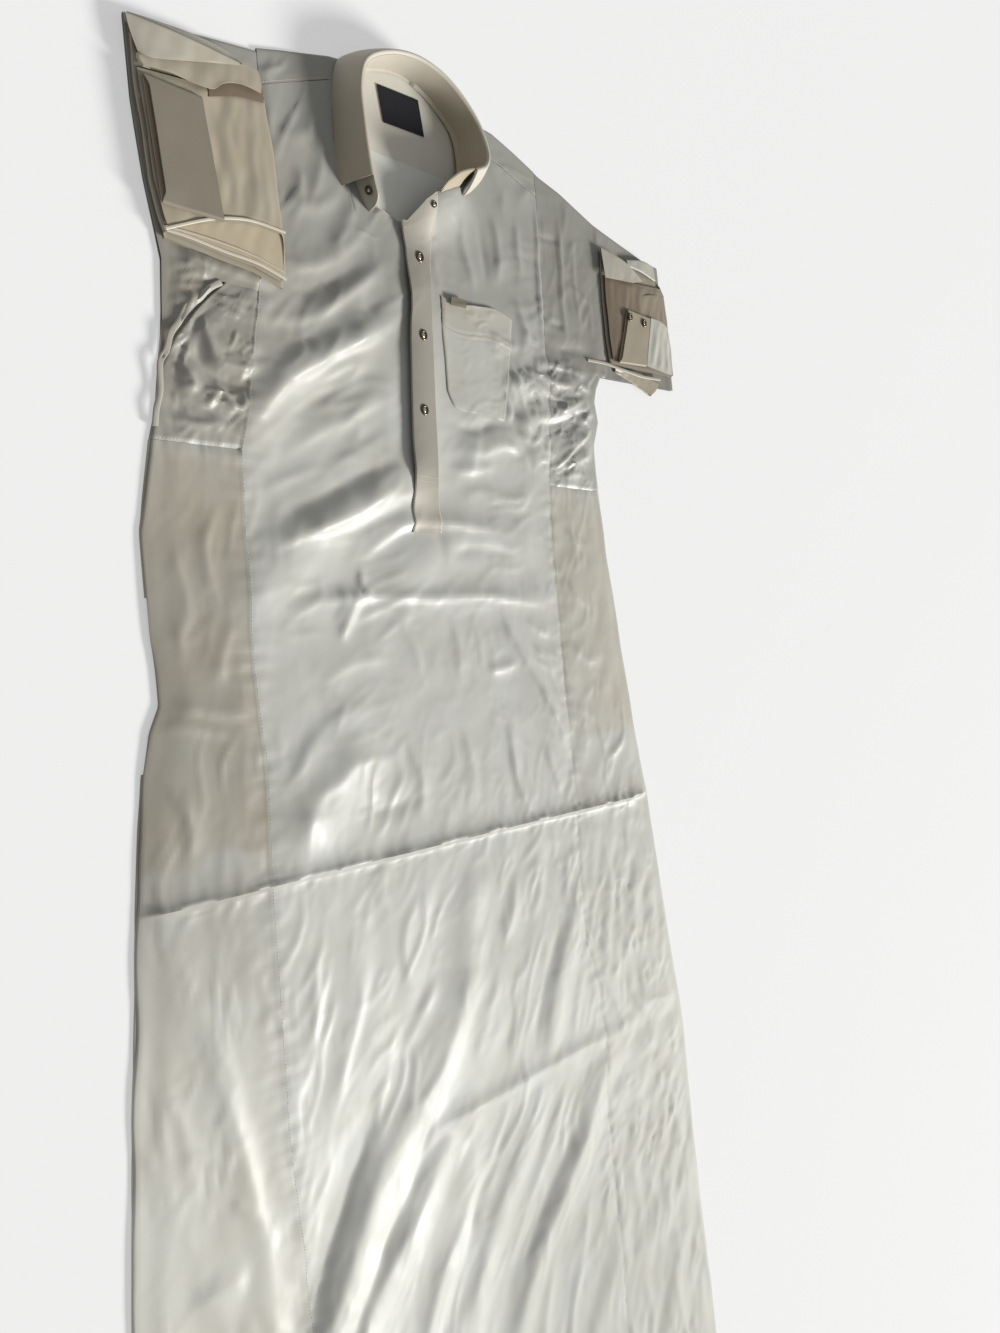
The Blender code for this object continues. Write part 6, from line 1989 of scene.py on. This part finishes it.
class THOBE_OT_stitching(bpy.types.Operator):
    """Sew the rows of stitches that show on the front's seams, the placket and the pocket"""

    bl_idname = "thobe.stitching"
    bl_label = "Stitching"

    def execute(self, context):
        lines = []
        near, far = 0.02, 0.98
        sides = ((near, far, near, near), (near, near, far, near), (far, near, far, far))
        hems = [(near, height, far, height) for height in (0.735, POCKET_HEM)]
        for u0, v0, u1, v1 in (*sides, *hems):
            u, v = np.linspace(u0, u1, 160), np.linspace(v0, v1, 160)
            x, y = pocket_flat(u, v)
            lines.append(on_front(x, y, lifted=True, out=0.0018 + pocket_gape(u, v)))
        pocket = stitches(lines, pitch=0.0026, length=0.0019)
        lines = []
        rows = np.linspace(PLACKET_BOTTOM + 0.002, TOP_BLOCK, 200)
        rows = np.concatenate([rows, 2 + np.linspace(0, 0.97, 40)])
        for knot in (9.12, 11.86):
            x, y = front_flat(np.full_like(rows, knot), rows)
            lines.append(on_placket(x, y, 0.0023))
        for y in (1.1030, 1.1535, 1.1580):
            knots = np.linspace(9.1, 11.9, 60)
            x, y = front_flat(knots, np.full_like(knots, y))
            lines.append(on_placket(x, y, 0.0024))
        placket = stitches(lines, pitch=0.0028, length=0.0020)
        lines = []
        for side, away in SIDES.items():
            y = np.linspace(0.004, GUSSET_TOP, 900)
            x = body(side + "_seam", y)
            lines.append(on_front(x - away * 0.0016, y, out=0.0004))
            seam, outer = body(side + "_seam", GORE_TOP), blend(GUSSETS, "y", side + "_outer", GORE_TOP)
            x = seam + (outer - seam) * np.linspace(0, 1, 200) * 0.97
            lines.append(on_front(x, np.full_like(x, GORE_TOP + 0.0022), out=0.0004))
        for first, last in ((0, 3.6), (8.4, 13)):
            x, y = row_places(YOKE, np.linspace(first, last, 160), "front_x", "front_y")
            lines.append(on_front(x, y + 0.0020, out=0.0004))
        seams = stitches(lines, pitch=0.0032, length=0.0022, radius=0.00018)
        mesh = joined("stitches", [pocket, placket, seams])
        finish_piece("stitching_thread", mesh, "polyester_thread", thickness=0, slot="satin")
        return {"FINISHED"}


def make_plain_materials(looks):
    # stiffened satin: the same cloth fused to interlining; flatter, hardly crinkled
    make_cloth_material(FUSED, looks, looks.facing, looks.layered, 0.55, looks.crinkle * 0.25, 0.05)

    # cotton pocketing: plain weave, matt; yarns 0.4 mm apart, drawn 1.5 mm apart
    tree, shader = new_material("pocketing_cotton", linear("#d9d0be"), 0.85)
    spots = add(tree, "TexCoord").outputs["Object"]
    weave = {"Vector": spots, "Scale": 330.0}
    warp, weft = [add(tree, "TexWave", weave, bands_direction=axis).outputs["Fac"] for axis in "XY"]
    cross = add(tree, "Math", {0: warp, 1: weft}, operation="ADD")
    bump = add(tree, "Bump", {"Height": cross.outputs[0]}, Strength=0.3, Distance=0.0002)
    tree.links.new(bump.outputs[0], shader.inputs["Normal"])

    # nickel-plated cap: turned bright, with fine rubbing marks; mirrors the window softly
    tree, shader = new_material("nickel_snap_cap", linear("#cfc9bb"), 0.22, 1.0)
    spots = add(tree, "TexCoord").outputs["Object"]
    rub = add(tree, "TexNoise", {"Vector": spots, "Scale": 1400.0}, Detail=2.0)
    rough = add(tree, "MapRange", {"Value": rub.outputs["Fac"]}, To_Min=0.16, To_Max=0.36)
    tree.links.new(rough.outputs["Result"], shader.inputs["Roughness"])

    # oxidised brass: stamped and darkened, with brighter worn patches at random; soft dark glints.
    # Spun polyester thread: slightly brighter than the satin, with a dull shine
    for name, base, rough, metal, scale, detail, dark, light in (
        ("oxidised_snap_metal", "#4a433a", 0.34, 1.0, 900.0, 3.0, "#2e2a25", "#7d725f"),
        ("polyester_thread", "#e6e2d6", 0.5, 0.0, 800.0, 2.0, "#c9c3b2", "#efece2"),
    ):
        tree, shader = new_material(name, linear(base), rough, metal)
        spots = add(tree, "TexCoord").outputs["Object"]
        wear = add(tree, "TexNoise", {"Vector": spots, "Scale": scale}, Detail=detail)
        colours = {0: wear.outputs["Fac"], 6: linear(dark), 7: linear(light)}
        tone = add(tree, "Mix", colours, data_type="RGBA")
        tree.links.new(tone.outputs[2], shader.inputs["Base Color"])

    # woven tapes: damask label ground, threads 0.3 mm apart drawn 1 mm apart; matt with a rib
    for name, dark, light in (
        ("black_woven_tape", "#121317", "#202125"), ("grey_woven_tape", "#4f4a3e", "#8a8371"),
    ):
        tree, shader = new_material(name, linear(dark), 0.85)
        uv = add(tree, "UVMap", uv_map="Cloth").outputs["UV"]
        rib = add(tree, "TexWave", {"Vector": uv, "Scale": 500.0}, bands_direction="Y", Distortion=0.6)
        colours = {0: rib.outputs["Fac"], 6: linear(dark), 7: linear(light)}
        tone = add(tree, "Mix", colours, data_type="RGBA")
        tree.links.new(tone.outputs[2], shader.inputs["Base Color"])
        bump = add(tree, "Bump", {"Height": rib.outputs["Fac"]}, Strength=0.4, Distance=0.0002)
        tree.links.new(bump.outputs[0], shader.inputs["Normal"])
        shader.inputs["Specular IOR Level"].default_value = 0.2


# ---------------------------------------------------------------- stage


class THOBE_OT_stage(bpy.types.Operator):
    """Set the pale floor, the low light and the camera"""

    bl_idname = "thobe.stage"
    bl_label = "Stage"

    def execute(self, context):
        scene = context.scene
        floor_sheet = bmesh.new()
        bmesh.ops.create_grid(floor_sheet, x_segments=1, y_segments=1, size=14)
        mesh = as_mesh(floor_sheet, "floor")
        # matt opal board, lit from below: no shine, and only faint soft shadows show on it
        tree, shader = new_material("matt_studio_board", linear("#a6a6a6"), 0.95)
        shader.inputs["Specular IOR Level"].default_value = 0.1
        shader.inputs["Emission Color"].default_value = linear("#ffffff")
        shader.inputs["Emission Strength"].default_value = 0.42
        mesh.materials.append(bpy.data.materials["matt_studio_board"])
        floor = bpy.data.objects.new("floor", mesh)
        scene.collection.objects.link(floor)

        world = bpy.data.worlds.new("studio")
        world.use_nodes = True
        background = world.node_tree.nodes["Background"]
        background.inputs["Color"].default_value = linear("#f8fafc")
        background.inputs["Strength"].default_value = 0.40
        scene.world = world
        scene.view_settings.view_transform = "Standard"

        # a low, wide window far off at the lower right: long soft shadows
        data = bpy.data.lights.new("window", "SUN")
        data.angle, data.energy = math.radians(16), 5.5
        data.color = linear("#fffefb")[:3]
        window = bpy.data.objects.new("window", data)
        window.rotation_euler = Vector((-3.4, 2.0, -1.95)).to_track_quat("-Z", "Y").to_euler()
        scene.collection.objects.link(window)

        data = bpy.data.cameras.new("camera")
        data.lens, data.sensor_width, data.sensor_fit, data.clip_start = 27.0, 36.0, "AUTO", 0.01
        camera = bpy.data.objects.new("camera", data)
        camera.location = (-0.7141, 0.2027, 0.7683)
        camera.rotation_euler = (0.0346, -0.8072, -0.0790)
        scene.collection.objects.link(camera)
        scene.camera = camera
        return {"FINISHED"}


class THOBE_PT_panel(bpy.types.Panel):
    """The robe's pieces and their settings"""

    bl_idname = "THOBE_PT_panel"
    bl_label = "Thobe"
    bl_space_type = "VIEW_3D"
    bl_region_type = "UI"
    bl_category = "Thobe"

    def draw(self, context):
        for group in (context.scene.thobe_looks, context.scene.thobe_sizes):
            for name in group.bl_rna.properties.keys():
                if name not in ("rna_type", "name"):
                    self.layout.prop(group, name)
        for step in STEPS:
            self.layout.operator(step.bl_idname)


class THOBE_OT_materials(bpy.types.Operator):
    """Make the cloth, snap, tape and thread materials"""

    bl_idname = "thobe.materials"
    bl_label = "Materials"

    def execute(self, context):
        looks = context.scene.thobe_looks
        make_cloth_material(SHEER, looks, looks.satin, looks.layered, 0.42, looks.crinkle, 0.03)
        make_plain_materials(looks)
        return {"FINISHED"}


STEPS = (
    THOBE_OT_materials,
    THOBE_OT_back,
    THOBE_OT_front,
    THOBE_OT_gores,
    THOBE_OT_gussets,
    THOBE_OT_yoke,
    THOBE_OT_sleeves,
    THOBE_OT_left_folds,
    THOBE_OT_right_folds,
    THOBE_OT_cuffs,
    THOBE_OT_collar,
    THOBE_OT_placket,
    THOBE_OT_pocket,
    THOBE_OT_snaps,
    THOBE_OT_label,
    THOBE_OT_stitching,
    THOBE_OT_stage,
)
GROUPS = {"thobe_looks": ThobeLooks, "thobe_sizes": ThobeSizes}


def register():
    for group in GROUPS.values():
        bpy.utils.register_class(group)
    for name, group in GROUPS.items():
        setattr(bpy.types.Scene, name, PointerProperty(type=group))
    for step in (*STEPS, THOBE_PT_panel):
        bpy.utils.register_class(step)


def unregister():
    for step in reversed((*STEPS, THOBE_PT_panel)):
        bpy.utils.unregister_class(step)
    for name, group in GROUPS.items():
        delattr(bpy.types.Scene, name)
        bpy.utils.unregister_class(group)


def main():
    register()
    for step in STEPS:
        group, name = step.bl_idname.split(".")
        getattr(getattr(bpy.ops, group), name)()


if __name__ == "__main__":
    main()
